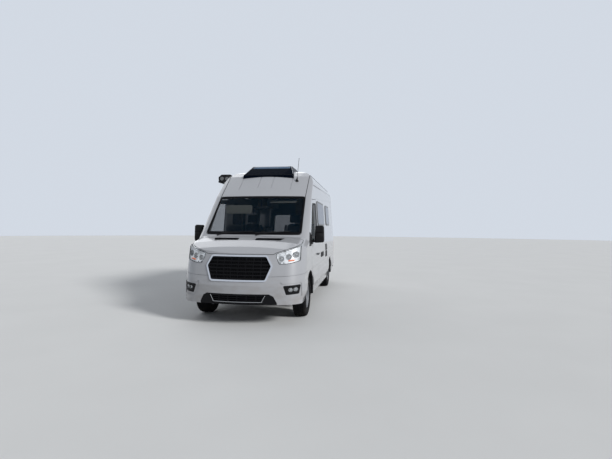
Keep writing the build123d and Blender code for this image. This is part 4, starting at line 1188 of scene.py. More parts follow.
def inflate(piece: bpy.types.Object, pads: Sequence[Patch], pressure: float = 4.0, cap: float = 0.010,
            frames: int = 20) -> None:
    """Fills a cushion with Blender's cloth solver, sewn along its rim and channels.

    Air pressure lifts the cloth between the sewn points, which stay where they are. No point moves
    further than the cap. The result is kept in the mesh, smoothed by one subdivision.

    Args:
        piece: Cushion, made of closed surfaces.
        pads: The surfaces that it was made of, with their sewn points.
        pressure: Force of the air.
        cap: Furthest that a point may move, in metres.
        frames: Steps of the solver.
    """
    mesh = piece.data
    start = np.empty(len(mesh.vertices) * 3)
    mesh.vertices.foreach_get("co", start)
    start = start.reshape(-1, 3)
    held = np.concatenate([pad.points[pad.sewn] for pad in pads])
    index = np.flatnonzero(np.isin(grid_key(start), grid_key(held)))
    seams = piece.vertex_groups.new(name="seams")
    seams.add(index.tolist(), 1.0, "REPLACE")
    cloth = piece.modifiers.new("cloth", "CLOTH")
    cloth.settings.use_pressure = True
    cloth.settings.uniform_pressure_force = pressure
    cloth.settings.vertex_group_mass = seams.name
    cloth.settings.effector_weights.gravity = 0.0
    cloth.collision_settings.use_collision = False
    scene = bpy.context.scene
    for step in range(1, frames + 1):
        scene.frame_set(step)
    shaped = piece.evaluated_get(bpy.context.evaluated_depsgraph_get()).data
    end = np.empty_like(start).ravel()
    shaped.vertices.foreach_get("co", end)
    shift = end.reshape(-1, 3) - start
    reach = np.linalg.norm(shift, axis=1, keepdims=True)
    shift = shift * np.minimum(1.0, cap / np.maximum(reach, 1e-9))
    piece.modifiers.remove(cloth)
    scene.frame_set(1)
    mesh.vertices.foreach_set("co", (start + shift).ravel())
    mesh.update()
    piece.vertex_groups.remove(seams)
    LOG.info("%s: filled, moved %.1f mm at most", piece.name, 1000.0 * min(cap, float(reach.max())))
    smooth = piece.modifiers.new("smooth", "SUBSURF")
    smooth.levels = 1
    smooth.render_levels = 1


@dataclass
class Nose:
    """Grille mesh, lamp insides, fog lamps, bonnet inserts and the bright lip of the lower intake.

    Points of the front view are (x, height) on the left side, and points of the top view are
    (x, station). `grille` holds (height, half width); `bowls` and `fogs` hold (x, height, radius).
    """

    shop: Workshop
    ahead: float = -0.2
    nose_radius: float = 2.400
    lean: float = 120.0 / 510.0
    chin: float = 0.640
    grille: tuple = ((0.712, 0.432), (0.948, 0.520), (1.114, 0.430))
    wires: int = 30
    wire: float = 0.0032
    wire_depth: float = 0.022
    columns: int = 33
    column_reach: float = 0.96
    column_wire: float = 0.0028
    column_depth: float = 0.024
    backing_depth: float = 0.070
    intake_half: float = 0.420
    intake_heights: tuple = (0.386, 0.500)
    intake_depth: float = 0.075
    bowls: tuple = ((0.668, 1.060, 0.044), (0.777, 1.089, 0.047), (0.880, 1.126, 0.050))
    fogs: tuple = ((0.825, 0.580, 0.032), (0.898, 0.584, 0.032))
    lamp_depth: float = 0.034
    bowl_rim: tuple = ((0.0, -0.004), (-0.004, -0.001), (0.0, 0.002), (0.006, 0.0))
    fog_rim: tuple = ((-0.022, -0.001), (-0.026, 0.001), (-0.022, 0.004), (-0.012, 0.001))
    projector: tuple = ((0.006, 0.0), (0.007, 0.010), (0.013, 0.018), (0.024, 0.0205), (0.034, 0.0195),
                        (0.034, 0.0))
    signal: tuple = ((0.775, 1.028), (0.815, 1.034), (0.860, 1.042))
    light_bar: tuple = ((0.640, 1.132), (0.771, 1.172), (0.880, 1.212), (0.925, 1.232))
    sensors: tuple = ((0.655, 0.996), (0.708, 0.996))
    seal: tuple = ((0.588, 1.116), (0.596, 1.140), (0.640, 1.157), (0.771, 1.196), (0.884, 1.236),
                   (0.926, 1.262), (0.945, 1.262), (0.948, 1.240), (0.948, 1.060), (0.936, 1.028),
                   (0.900, 1.015), (0.786, 0.988), (0.668, 0.979), (0.640, 0.990), (0.600, 1.070),
                   (0.588, 1.116))
    vent_corners: tuple = ((0.150, 0.490), (0.150, 0.588), (0.622, 0.664), (0.570, 0.540))
    vent_edge: float = 0.004
    slat_rise: float = 0.005
    slats: int = 5
    lip_half: tuple = ((0.446, 0.492), (0.430, 0.470), (0.398, 0.408), (0.380, 0.392), (0.2, 0.390))

    def build(self) -> None:
        """Makes the pieces of the nose."""
        self.mesh()
        lenses = Skin("lamp_lenses")
        for side, sign in SIDES:
            self.lamp(lenses, side, sign)
            self.lamp_trim(lenses, side, sign)
        for side, sign in SIDES:
            self.fog_lamp(lenses, side, sign)
        self.bonnet_vents()
        self.intake()

    def nose_y(self, x: np.ndarray, z: np.ndarray, depth: float) -> np.ndarray:
        """Y of the nose at a depth: a wide arc in plan that leans back above the chin."""
        arc = self.nose_radius - np.sqrt(self.nose_radius**2 - x**2)
        return station(arc + np.maximum(0.0, z - self.chin) * self.lean + depth)

    def half(self, z: np.ndarray) -> np.ndarray:
        """Half width of the grille at a height."""
        return np.interp(z, *zip(*self.grille))

    def heights(self, rows: int) -> np.ndarray:
        """Heights from the grille's foot to its top."""
        return np.linspace(self.grille[0][0], self.grille[-1][0], rows)

    def sheet(self, depth: float, rows: int, columns: int = 41) -> np.ndarray:
        """Grid of points over the grille's outline at a depth behind the nose."""
        z = self.heights(rows)[:, None]
        x = np.linspace(-1.0, 1.0, columns)[None] * self.half(z)
        z = np.broadcast_to(z, x.shape)
        return np.stack([x, self.nose_y(x, z, depth), z], axis=-1)

    def column(self, share: float) -> np.ndarray:
        """Upright line over the grille at a share of its half width."""
        z = self.heights(16)
        x = share * self.half(z)
        return np.stack([x, self.nose_y(x, z, self.column_depth), z], axis=-1)

    def mesh(self) -> None:
        """Fine wires across the grille, with near-black screens behind it and behind the lower intake:
        painted shade for the dark inside of the openings.
        """
        bars = [tube(line, self.wire, 6) for line in self.sheet(self.wire_depth, self.wires)]
        shares = np.linspace(-self.column_reach, self.column_reach, self.columns)
        bars += [tube(self.column(share), self.column_wire, 6) for share in shares]
        self.shop.add("grille_mesh", bars, "van", "gloss_black")
        screen = Patch(self.sheet(self.backing_depth, 9))
        z = np.linspace(*self.intake_heights, 5)[:, None]
        x = np.linspace(-self.intake_half, self.intake_half, 31)[None] + 0.0 * z
        lower = Patch(np.stack([x, self.nose_y(x, z, self.intake_depth), z + 0.0 * x], axis=-1))
        # The screens are painted shade: a dull near-black sheet where the openings are dark inside.
        self.shop.add("grille_shade_screens", [screen, lower], "van", "black_plastic", "painted_shade_black", thickness=0.004)

    def behind(self, lenses: Skin, x: float, z: float, out: float, sign: float) -> tuple:
        """Middle of a lamp's rim, set back from the place where its lens is tested.

        Args:
            lenses: The lenses.
            x: Distance of the lamp from the middle.
            z: Its height.
            out: How far up and out from its middle the lens is tested.
            sign: 1 on the left side, -1 on the right.

        Returns:
            The rim's middle.
        """
        front = lenses.from_front([((x + out) * sign, z + out)], self.ahead)[0, 1]
        return x * sign, front + self.lamp_depth, z

    def lamp(self, lenses: Skin, side: str, sign: float) -> None:
        """Projector lenses and bowl rims of one head lamp.

        Args:
            lenses: The lenses.
            side: Side's name.
            sign: 1 on the left side, -1 on the right.
        """
        balls, rims = [], []
        for x, z, radius in self.bowls:
            centre = self.behind(lenses, x, z, radius, sign)
            rim = [(along, radius + out) for along, out in self.bowl_rim]
            rims.append(lathe(rim, centre, (0, 1, 0), 40, True))
            balls.append(lathe(self.projector, centre, (0, 1, 0)))
        self.shop.add("lamp_rims_" + side, rims, "van", "chrome_ring")
        self.shop.add("lamp_projectors_" + side, balls, "van", "glazing", "grey_lens")

    def lamp_trim(self, lenses: Skin, side: str, sign: float) -> None:
        """Turn signal, light bar, sensors and black seal of one head lamp, each following its lens.

        Args:
            lenses: The lenses.
            side: Side's name.
            sign: 1 on the left side, -1 on the right.
        """
        def laid(view: Sequence[tuple], count: int, depth: float) -> np.ndarray:
            """Smooth path through points of the front view, set behind the lens by a depth."""
            return lenses.from_front(smooth_path(view, count) * (sign, 1.0), self.ahead, -depth)

        signal = tube(laid(self.signal, 12, 0.012), 0.0125, 12)
        self.shop.add("turn_signal_" + side, [signal], "van", "red_lens", "amber_lens")
        bar = tube(laid(self.light_bar, 24, 0.010), 0.0065, 8)
        self.shop.add("light_bar_" + side, [bar], "van", "lens", "frosted_lens")
        dots = [tube(laid(((x - 0.010, z), (x + 0.010, z)), 4, 0.012), 0.009, 10) for x, z in self.sensors]
        self.shop.add("lamp_sensors_" + side, dots, "van", "grey_plastic", "dark_lens")
        seal = tube(laid(self.seal, 120, -0.0005)[:-1], 0.0035, 6, True)
        self.shop.add("lamp_seal_" + side, [seal], "van", "black_plastic", "rubber_seal")

    def fog_lamp(self, lenses: Skin, side: str, sign: float) -> None:
        """Reflector cups with their bulbs, and grey rims, behind the lenses of one side's fog lamps.

        Args:
            lenses: The lenses.
            side: Side's name.
            sign: 1 on the left side, -1 on the right.
        """
        cups, rims = [], []
        for x, z, radius in self.fogs:
            centre = self.behind(lenses, x, z, 0.0, sign)
            cup = ((0.006, radius - 0.002), (0.022, radius * 0.8), (0.034, radius * 0.45), (0.036, 0.010),
                   (0.016, 0.008), (0.012, 0.0))
            rim = [(along, radius + out) for along, out in self.fog_rim]
            cups.append(lathe(cup, centre, (0, 1, 0)))
            rims.append(lathe(rim, centre, (0, 1, 0), 40, True))
        self.shop.add("fog_cups_" + side, cups, "van", "chrome_ring", "bright_cup")
        self.shop.add("fog_rims_" + side, rims, "van", "grey_plastic")

    def bonnet_vents(self) -> None:
        """Black louvred inserts of the two slots in the bonnet: a flange with slats over the hole. Their dull
        near-black is partly the inserts' own black and partly painted shade for the slots' dark inside.

        The height of each point is drawn between the bonnet's heights at the flange's four corners.
        It rises over the flange's edge, and the slats add a cosine wave along the slot.
        """
        rows, columns = 25, 41
        u = np.linspace(0.0, 1.0, rows)[:, None, None]
        v = np.linspace(0.0, 1.0, columns)[None, :, None]
        edge = np.minimum(np.minimum(u, 1 - u) * 12.0, np.minimum(v, 1 - v) * 5.0).clip(0.0, 1.0)
        wave = 0.5 + 0.5 * np.cos(v * 2.0 * self.slats * np.pi)
        rise = (0.0, 0.0, 1.0) * edge * (self.vent_edge + self.slat_rise * wave)
        bonnet = Skin("bonnet")
        inserts = []
        for _, sign in SIDES:
            corners = bonnet.from_above(np.array(self.vent_corners) * (sign, 1.0), 0.002)
            inserts.append(Patch(four_corners(corners, rows, columns) + rise))
        # Dull near-black finish: the inserts' own black, deepened as painted shade inside the slots.
        self.shop.add("bonnet_vents", inserts, "bonnet", "black_plastic", "painted_shade_black", thickness=0.003)

    def intake(self) -> None:
        """Bright lip under the lower intake, set on the skin seen from the front."""
        outline = [(-x, z) for x, z in self.lip_half] + [(0.0, self.lip_half[-1][1])]
        outline += list(self.lip_half[::-1])
        line = Skin("grilles", "front_bumper").from_front(smooth_path(outline, 90), self.ahead, 0.002)
        self.shop.add("intake_lip", [tube(line, 0.0035, 8)], "van", "chrome_ring", "satin_lip")


@dataclass
class Screen:
    """Wiper arms, the rubber round the windscreen and what hangs behind it.

    `rubber_half` holds (x, height) from the top's middle to the foot's middle, `wiper_spans` the x of
    each arm's foot and tip, and `visors` (side, sign, station, height, tilt).
    """

    shop: Workshop
    ahead: float = 0.3
    rubber_half: tuple = ((0.0, 2.154), (0.5, 2.154), (0.78, 2.153), (0.826, 2.140), (0.842, 2.100),
                          (0.855, 1.80), (0.869, 1.500), (0.858, 1.450), (0.810, 1.433), (0.5, 1.432),
                          (0.0, 1.432))
    wiper_spans: tuple = ((-0.62, -0.27), (0.10, 0.40))
    wiper_heights: tuple = (1.424, 1.476)
    wiper_thick: tuple = (0.008, 0.0045)
    wiper_boss: tuple = ((-0.012, 0.0), (-0.012, 0.012), (-0.008, 0.015), (0.010, 0.015), (0.010, 0.0))
    wiper_axis: tuple = (0, -0.73, 0.69)
    visors: tuple = (("left", 1.0, 1.520, 2.060, 0.35), ("right", -1.0, 1.375, 1.900, 1.05))
    visor_x: float = 0.42
    visor_size: tuple = (0.52, 0.195, 0.022)
    mirror_stalk: tuple = ((1.455, 1.95), (1.46, 2.02), (1.475, 2.09))

    def build(self) -> None:
        """Makes the pieces round the windscreen."""
        skin = Skin("windscreen", "body_side_left", "body_side_right", "roof_panel", "cowl_panel")
        loop = list(self.rubber_half) + [(-x, z) for x, z in self.rubber_half[-2:0:-1]]
        line = skin.from_front(smooth_path(loop + loop[:1], 240)[:-1], self.ahead)
        self.shop.add("screen_rubber", [tube(line, 0.005, 6, True)], "van", "black_plastic", "rubber_seal")
        self.wipers(skin)
        self.mirror_and_visors()

    def wipers(self, skin: Skin) -> None:
        """Two arms that rise from the cowl and follow the glass."""
        arms, count = [], 14
        for foot, tip in self.wiper_spans:
            view = np.column_stack([np.linspace(foot, tip, count), np.linspace(*self.wiper_heights, count)])
            line = skin.from_front(view, self.ahead, 0.010)
            arms.append(tube(line, np.linspace(*self.wiper_thick, count), 8, False, 0.7))
            arms.append(lathe(self.wiper_boss, line[0], self.wiper_axis, 24))
        self.shop.add("wiper_arms", arms, "van", "black_plastic", "rubber_seal")

    def mirror_and_visors(self) -> None:
        """Sun visors, the right one folded down, and the inside mirror on its stalk."""
        for side, sign, along, height, tilt in self.visors:
            centre = (self.visor_x * sign, station(along), height)
            pad = cushion(centre, self.visor_size, 0.004, 0.01, (), tilt)
            piece = self.shop.add("sun_visor_" + side, [pad], "van", "grey_plastic", "visor_cloth")
        glass = block((-0.12, 0.12), (1.44, 1.465), (1.905, 1.965), 0.012)
        stalk = tube([(0.0, station(along), height) for along, height in self.mirror_stalk], 0.008, 10)
        self.shop.add("inside_mirror", [glass, stalk], "van", "cabin_plastic")


@dataclass
class Doors:
    """Seals, mirror glasses, locks, vents and flaps of the sides, door cards and what the rear carries.

    Outlines of the side view are (station, height), and those of the rear view (x, height). `lock` and
    `filler` hold (x, station, height), the mirrors' and vents' pairs hold foot and top, and `rib_span`
    holds first station, end and pitch.
    """

    shop: Workshop
    glass: tuple = ((1.255, 1.300), (1.255, 1.450), (1.655, 2.030), (2.120, 2.055), (2.120, 1.290))
    glass_corner: float = 0.050
    belt: tuple = ((1.26, 1.292), (2.12, 1.284))
    lock: tuple = (1.0285, 2.135, 1.040)
    barrel: tuple = ((0.0, 0.0), (0.004, 0.006), (0.004, 0.010), (0.0, 0.012))
    mirror_inner: float = 1.090
    mirror_edge: float = 0.018
    mirror_glasses: tuple = ((1.395, 1.580), (1.305, 1.380))
    mirror_joint: tuple = (1.470, 1.492)
    vents: tuple = ((0.880, 1.010), (1.040, 1.170))
    vent_span: tuple = (3.555, 3.825)
    louvre_span: tuple = (3.565, 3.815)
    louvres: int = 6
    louvre_in: float = 0.016
    filler: tuple = (-1.0265, 4.35, 0.960)
    flap: tuple = ((2.600, 0.930), (3.065, 0.930), (3.065, 1.030), (2.600, 1.030))
    pillar: tuple = ((0.905, 1.235), (1.141, 1.235), (1.141, 1.470), (1.030, 1.480))
    card: tuple = ((1.560, 0.560), (2.130, 0.560), (2.130, 1.235), (1.260, 1.235))
    card_start: float = 0.3
    arm_rest: float = 0.035
    rear_face: float = 5.900
    rear_pane: tuple = ((0.150, 1.350), (0.790, 1.350), (0.760, 1.950), (0.150, 1.950))
    rear_corner: float = 0.085
    rib_span: tuple = (5.912, 5.968, 0.012)

    def build(self) -> None:
        """Makes the trim of the doors and sides."""
        for side, sign in SIDES:
            self.glass_trim(side, sign)
        for side, sign in SIDES:
            self.mirror(side, sign)
        self.fridge_vents()
        self.flaps()
        for side, sign in SIDES:
            self.cards(side, sign)
        self.rear_end()

    def glass_trim(self, side: str, sign: float) -> None:
        """Rubber round a cab door's glass, the belt strip along its foot, and the door's lock barrel.

        Args:
            side: Side's name.
            sign: 1 on the left side, -1 on the right.
        """
        body = "cab_door_" + side
        skin = Skin(body, "door_glass_" + side)
        seal = tube(skin.from_side(round_loop(self.glass, self.glass_corner), sign, -0.001), 0.006, 6, True)
        self.shop.add("glass_seal_" + side, [seal], body, "black_plastic", "rubber_seal")
        strip = tube(skin.from_side(np.linspace(*self.belt, 30), sign, 0.001), 0.009, 8, False, 0.5)
        self.shop.add("belt_strip_" + side, [strip], body, "black_plastic")
        x, along, z = self.lock
        barrel = lathe(self.barrel, (sign * x, station(along), z), (sign, 0, 0), 24)
        self.shop.add("lock_barrel_" + side, [barrel], body, "wheel_metal")

    def mirror(self, side: str, sign: float) -> None:
        """Mirror glass, the small wide-angle glass under it and a joint across the housing.

        Args:
            side: Side's name.
            sign: 1 on the left side, -1 on the right.
        """
        body = "cab_door_" + side
        low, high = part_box("mirror_" + side)
        outer = max(abs(low[0]), abs(high[0])) - self.mirror_edge
        left, right = sorted((sign * self.mirror_inner, sign * outer))
        front, back = low[1], high[1]
        glasses = [soft_box((left, back - 0.004, foot), (right, back + 0.001, top), 0.004)
                   for foot, top in self.mirror_glasses]
        self.shop.add("mirror_glass_" + side, glasses, body, "chrome_ring", "mirror_silver")
        foot, top = self.mirror_joint
        joint = soft_box((left - 0.004, front + 0.010, foot), (right + 0.004, front + 0.075, top), 0.008)
        self.shop.add("mirror_joint_" + side, [joint], body, "black_plastic", "gloss_black")

    def fridge_vents(self) -> None:
        """Two framed vents with louvres on the left side, and the filler cap on the right."""
        pieces = []
        skin = Skin("body_side_left")
        first, last = self.vent_span
        for low, high in self.vents:
            for z in np.linspace(low + self.louvre_in, high - self.louvre_in, self.louvres):
                view = [(along, z) for along in np.linspace(*self.louvre_span, 8)]
                pieces.append(tube(skin.from_side(view, 1.0, 0.002), 0.007, 6, False, 0.6))
            corners = [(first, low), (last, low), (last, high), (first, high), (first, low)]
            path = np.concatenate([np.linspace(a, b, 10)[:-1] for a, b in zip(corners, corners[1:])])
            pieces.append(tube(skin.from_side(path, 1.0, 0.001), 0.008, 8, True))
        self.shop.add("fridge_vents", pieces, "van", "black_plastic")
        x, along, z = self.filler
        cap = lathe(((0.0, 0.0), (0.003, 0.068), (0.0, 0.074)), (x, station(along), z), (-1, 0, 0), 40)
        self.shop.add("filler_cap", [cap], "van", "black_plastic")

    def flaps(self) -> None:
        """Black service flap behind the driver's door, and black trim ahead of each cab door's glass."""
        flap = self.panel(Skin("body_side_left"), self.flap, 1.0, 0.006)
        self.shop.add("service_flap", [flap], "van", "black_plastic", thickness=0.004)
        for side, sign in SIDES:
            trim = self.panel(Skin("body_side_" + side, "fender_" + side), self.pillar, sign, 0.0025)
            self.shop.add("pillar_trim_" + side, [trim], "van", "black_plastic", thickness=0.003)

    def panel(self, skin: Skin, outline: Sequence[tuple], sign: float, lift: float) -> Patch:
        """Thin panel laid on a side: a grid drawn between four corners and set on the skin.

        Args:
            skin: Surface that it lies on.
            outline: Four corners as (station, height).
            sign: 1 on the left side, -1 on the right.
            lift: Distance off the skin.

        Returns:
            The open surface.
        """
        view = four_corners(outline, 12, 20)
        return Patch(skin.from_side(view, sign, lift).reshape(12, 20, 3))

    def cards(self, side: str, sign: float) -> None:
        """Card and arm rest inside a cab door, and the card inside a rear door.

        Args:
            side: Side's name.
            sign: 1 on the left side, -1 on the right.
        """
        body = "cab_door_" + side
        corners = [(self.card_start * sign, station(along), z) for along, z in self.card]
        grid = four_corners(corners, 16, 24)
        card = Skin(body).cast(grid.reshape(-1, 3), (sign, 0, 0), 0.007).reshape(grid.shape)
        self.shop.add("door_card_" + side, [Patch(card)], body, "cabin_plastic", thickness=0.006)
        inner = abs(card[..., 0]).min()
        rest = block((inner - self.arm_rest, inner), (1.62, 2.02), (1.000, 1.050), 0.014, sign)
        self.shop.add("arm_rest_" + side, [rest], body, "cabin_plastic")
        rear = block((0.120, 0.840), (5.826, 5.838), (0.660, 1.270), 0.005, sign)
        self.shop.add("rear_card_" + side, [rear], "rear_door_" + side, "cabin_plastic", "door_laminate")

    def rear_end(self) -> None:
        """Handle, high brake lamp, ribs on the bumper's top and seals round the rear panes."""
        face = self.rear_face
        handle = block((-0.090, 0.070), (face - 0.002, face + 0.022), (1.060, 1.092), 0.009)
        self.shop.add("rear_handle", [handle], "rear_door_left", "black_plastic")
        brake = block((-0.130, 0.130), (face - 0.012, face + 0.006), (2.400, 2.428), 0.006)
        self.shop.add("high_brake_lamp", [brake], "van", "red_lens")
        ribs = [block((-0.960, 0.960), (along, along + 0.006), (0.5435, 0.5455), 0.001)
                for along in np.arange(*self.rib_span)]
        self.shop.add("bumper_ribs", ribs, "van", "black_plastic")
        for side, sign in SIDES:
            loop = round_loop([(sign * x, station(face), z) for x, z in self.rear_pane], self.rear_corner)
            self.shop.add("rear_seal_" + side, [tube(loop, 0.007, 6, True)], "rear_door_" + side,
                          "black_plastic", "rubber_seal")


@dataclass
class Wheels:
    """Treaded tyres with moulded walls, wheel nuts, hub caps, valves and the arches' lips.

    `places` holds each axle's name, station and arch radius. `wall` holds (across, radius) of half
    the tyre's section, from the middle of the tread to the rim. `valve_path` holds (across, height).
    """

    shop: Workshop
    radius: float = 0.356
    middle: float = 0.866
    places: tuple = (("front", 1.023, 0.4475), ("rear", 4.773, 0.4275))
    lip_span: tuple = (0.958, 1.010)
    lip_turn: tuple = (-4.0, 184.0)
    wall: tuple = ((0.0, 0.3560), (0.012, 0.3560), (0.016, 0.3558), (0.026, 0.3558), (0.030, 0.3556),
                   (0.046, 0.3553), (0.050, 0.3551), (0.060, 0.3550), (0.064, 0.3547), (0.078, 0.3538),
                   (0.088, 0.3515), (0.098, 0.3460), (0.104, 0.3390), (0.1085, 0.3280), (0.1120, 0.3150),
                   (0.1125, 0.3100), (0.1150, 0.3085), (0.1150, 0.3050), (0.1140, 0.3030),
                   (0.1160, 0.2850), (0.1165, 0.2600), (0.1140, 0.2400), (0.1110, 0.2340),
                   (0.1115, 0.2300), (0.1060, 0.2210), (0.0960, 0.2120), (0.0860, 0.2045))
    grooves: tuple = (0.021, 0.055)
    groove_half: float = 0.0055
    groove_depth: float = 0.007
    tread_half: float = 0.086
    lugs: tuple = (0.062, 0.104)
    blocks: int = 72
    block_slant: float = 60.0
    block_shift: float = 1.5
    block_gap: float = -0.55
    lug_gap: float = -0.45
    block_depth: float = 0.004
    around: int = 288
    nut_circle: float = 0.080
    nut_out: float = 0.030
    nuts: int = 6
    nut: tuple = ((0.0, 0.014), (0.004, 0.014), (0.004, 0.0105), (0.014, 0.0105), (0.018, 0.008),
                  (0.019, 0.0))
    cap: tuple = ((0.047, 0.052), (0.051, 0.050), (0.055, 0.040), (0.057, 0.020), (0.0575, 0.0))
    valve_path: tuple = ((0.060, 0.172), (0.074, 0.168), (0.086, 0.164))

    def build(self) -> None:
        """Makes the arches' lips and the four wheels' details."""
        for end, along, arch in self.places:
            self.arch_lips(end, along, arch)
        for end, along, _ in self.places:
            for side, sign in SIDES:
                name = end + "_" + side
                centre = np.array((self.middle * sign, station(along), self.radius))
                piece = self.shop.add("tread_" + name, [self.tyre(centre)], "wheel_" + name, "tyre_rubber")
                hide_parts("tyre_" + end + "_" + side)
                self.middle_parts(centre, sign, name)

    def arch_lips(self, end: str, along: float, arch: float) -> None:
        """Black lips inside two wheel arches: bands on a circle just under the body's edge.

        Args:
            end: Axle's name.
            along: Axle's station.
            arch: Radius of the bands.
        """
        angle = np.radians(np.linspace(*self.lip_turn, 60))[:, None]
        lips = []
        for _, sign in SIDES:
            x = sign * np.linspace(*self.lip_span, 5)[None] + 0.0 * angle
            y = station(along) + arch * np.cos(angle) + 0.0 * x
            lips.append(Patch(np.stack([x, y, self.radius + arch * np.sin(angle) + 0.0 * x], axis=-1)))
        self.shop.add("arch_lips_" + end, lips, "van", "black_plastic", thickness=0.003)

    def tyre(self, centre: np.ndarray) -> Patch:
        """Tyre as a ring of profiles; the tread drops into four grooves and between blocks.

        The radius at each angle is the profile's, less the groove's depth where the distance across
        falls in a groove, and less the block's depth where a wave of the angle, shifted along the
        width, is low. The wall carries two thin rings.
        """
        half = np.array(self.wall)
        across = np.concatenate([-half[::-1, 0], half[1:, 0]])
        radius = np.concatenate([half[::-1, 1], half[1:, 1]])
        out = abs(across)
        angle = np.linspace(0.0, 2.0 * np.pi, self.around + 1)[:-1]
        groove = np.minimum(*(abs(out - place) for place in self.grooves)) < self.groove_half
        tread = out < self.tread_half
        lug = (out > self.lugs[0]) & (out < self.lugs[1])
        shift = self.block_slant * out + self.block_shift * np.sign(across)
        wave = np.sin(self.blocks * angle[:, None] + shift[None])
        drop = self.groove_depth * (groove & tread)[None]
        drop = drop + self.block_depth * (wave < self.block_gap) * (tread & ~groove)[None]
        drop = np.maximum(drop, self.block_depth * (wave < self.lug_gap) * lug[None])
        reach = radius[None] - drop
        points = np.stack([
            np.broadcast_to(across[None], reach.shape),
            reach * np.cos(angle)[:, None],
            reach * np.sin(angle)[:, None],
        ], axis=-1)
        return Patch(centre + points, Wrap.RING)

    def middle_parts(self, centre: np.ndarray, sign: float, name: str) -> None:
        """Six nuts round a cap, and a valve on the rim.

        Args:
            centre: Middle of the wheel.
            sign: 1 on the left side, -1 on the right.
            name: The wheel's name.
        """
        body = "wheel_" + name
        turns = 2.0 * np.pi * np.arange(self.nuts) / self.nuts
        circle = self.nut_circle * np.array([np.cos(turns), np.sin(turns)])
        places = centre + np.column_stack([np.full(self.nuts, sign * self.nut_out), *circle])
        nuts = [lathe(self.nut, place, (sign, 0, 0), 6) for place in places]
        self.shop.add("wheel_nuts_" + name, nuts, body, "wheel_metal", smooth=False)
        cap = lathe(self.cap, centre, (sign, 0, 0), 36)
        self.shop.add("hub_cap_" + name, [cap], body, "black_plastic")
        valve = tube([centre + (sign * x, 0.0, z) for x, z in self.valve_path], 0.004, 8)
        self.shop.add("valve_" + name, [valve], body, "black_plastic")


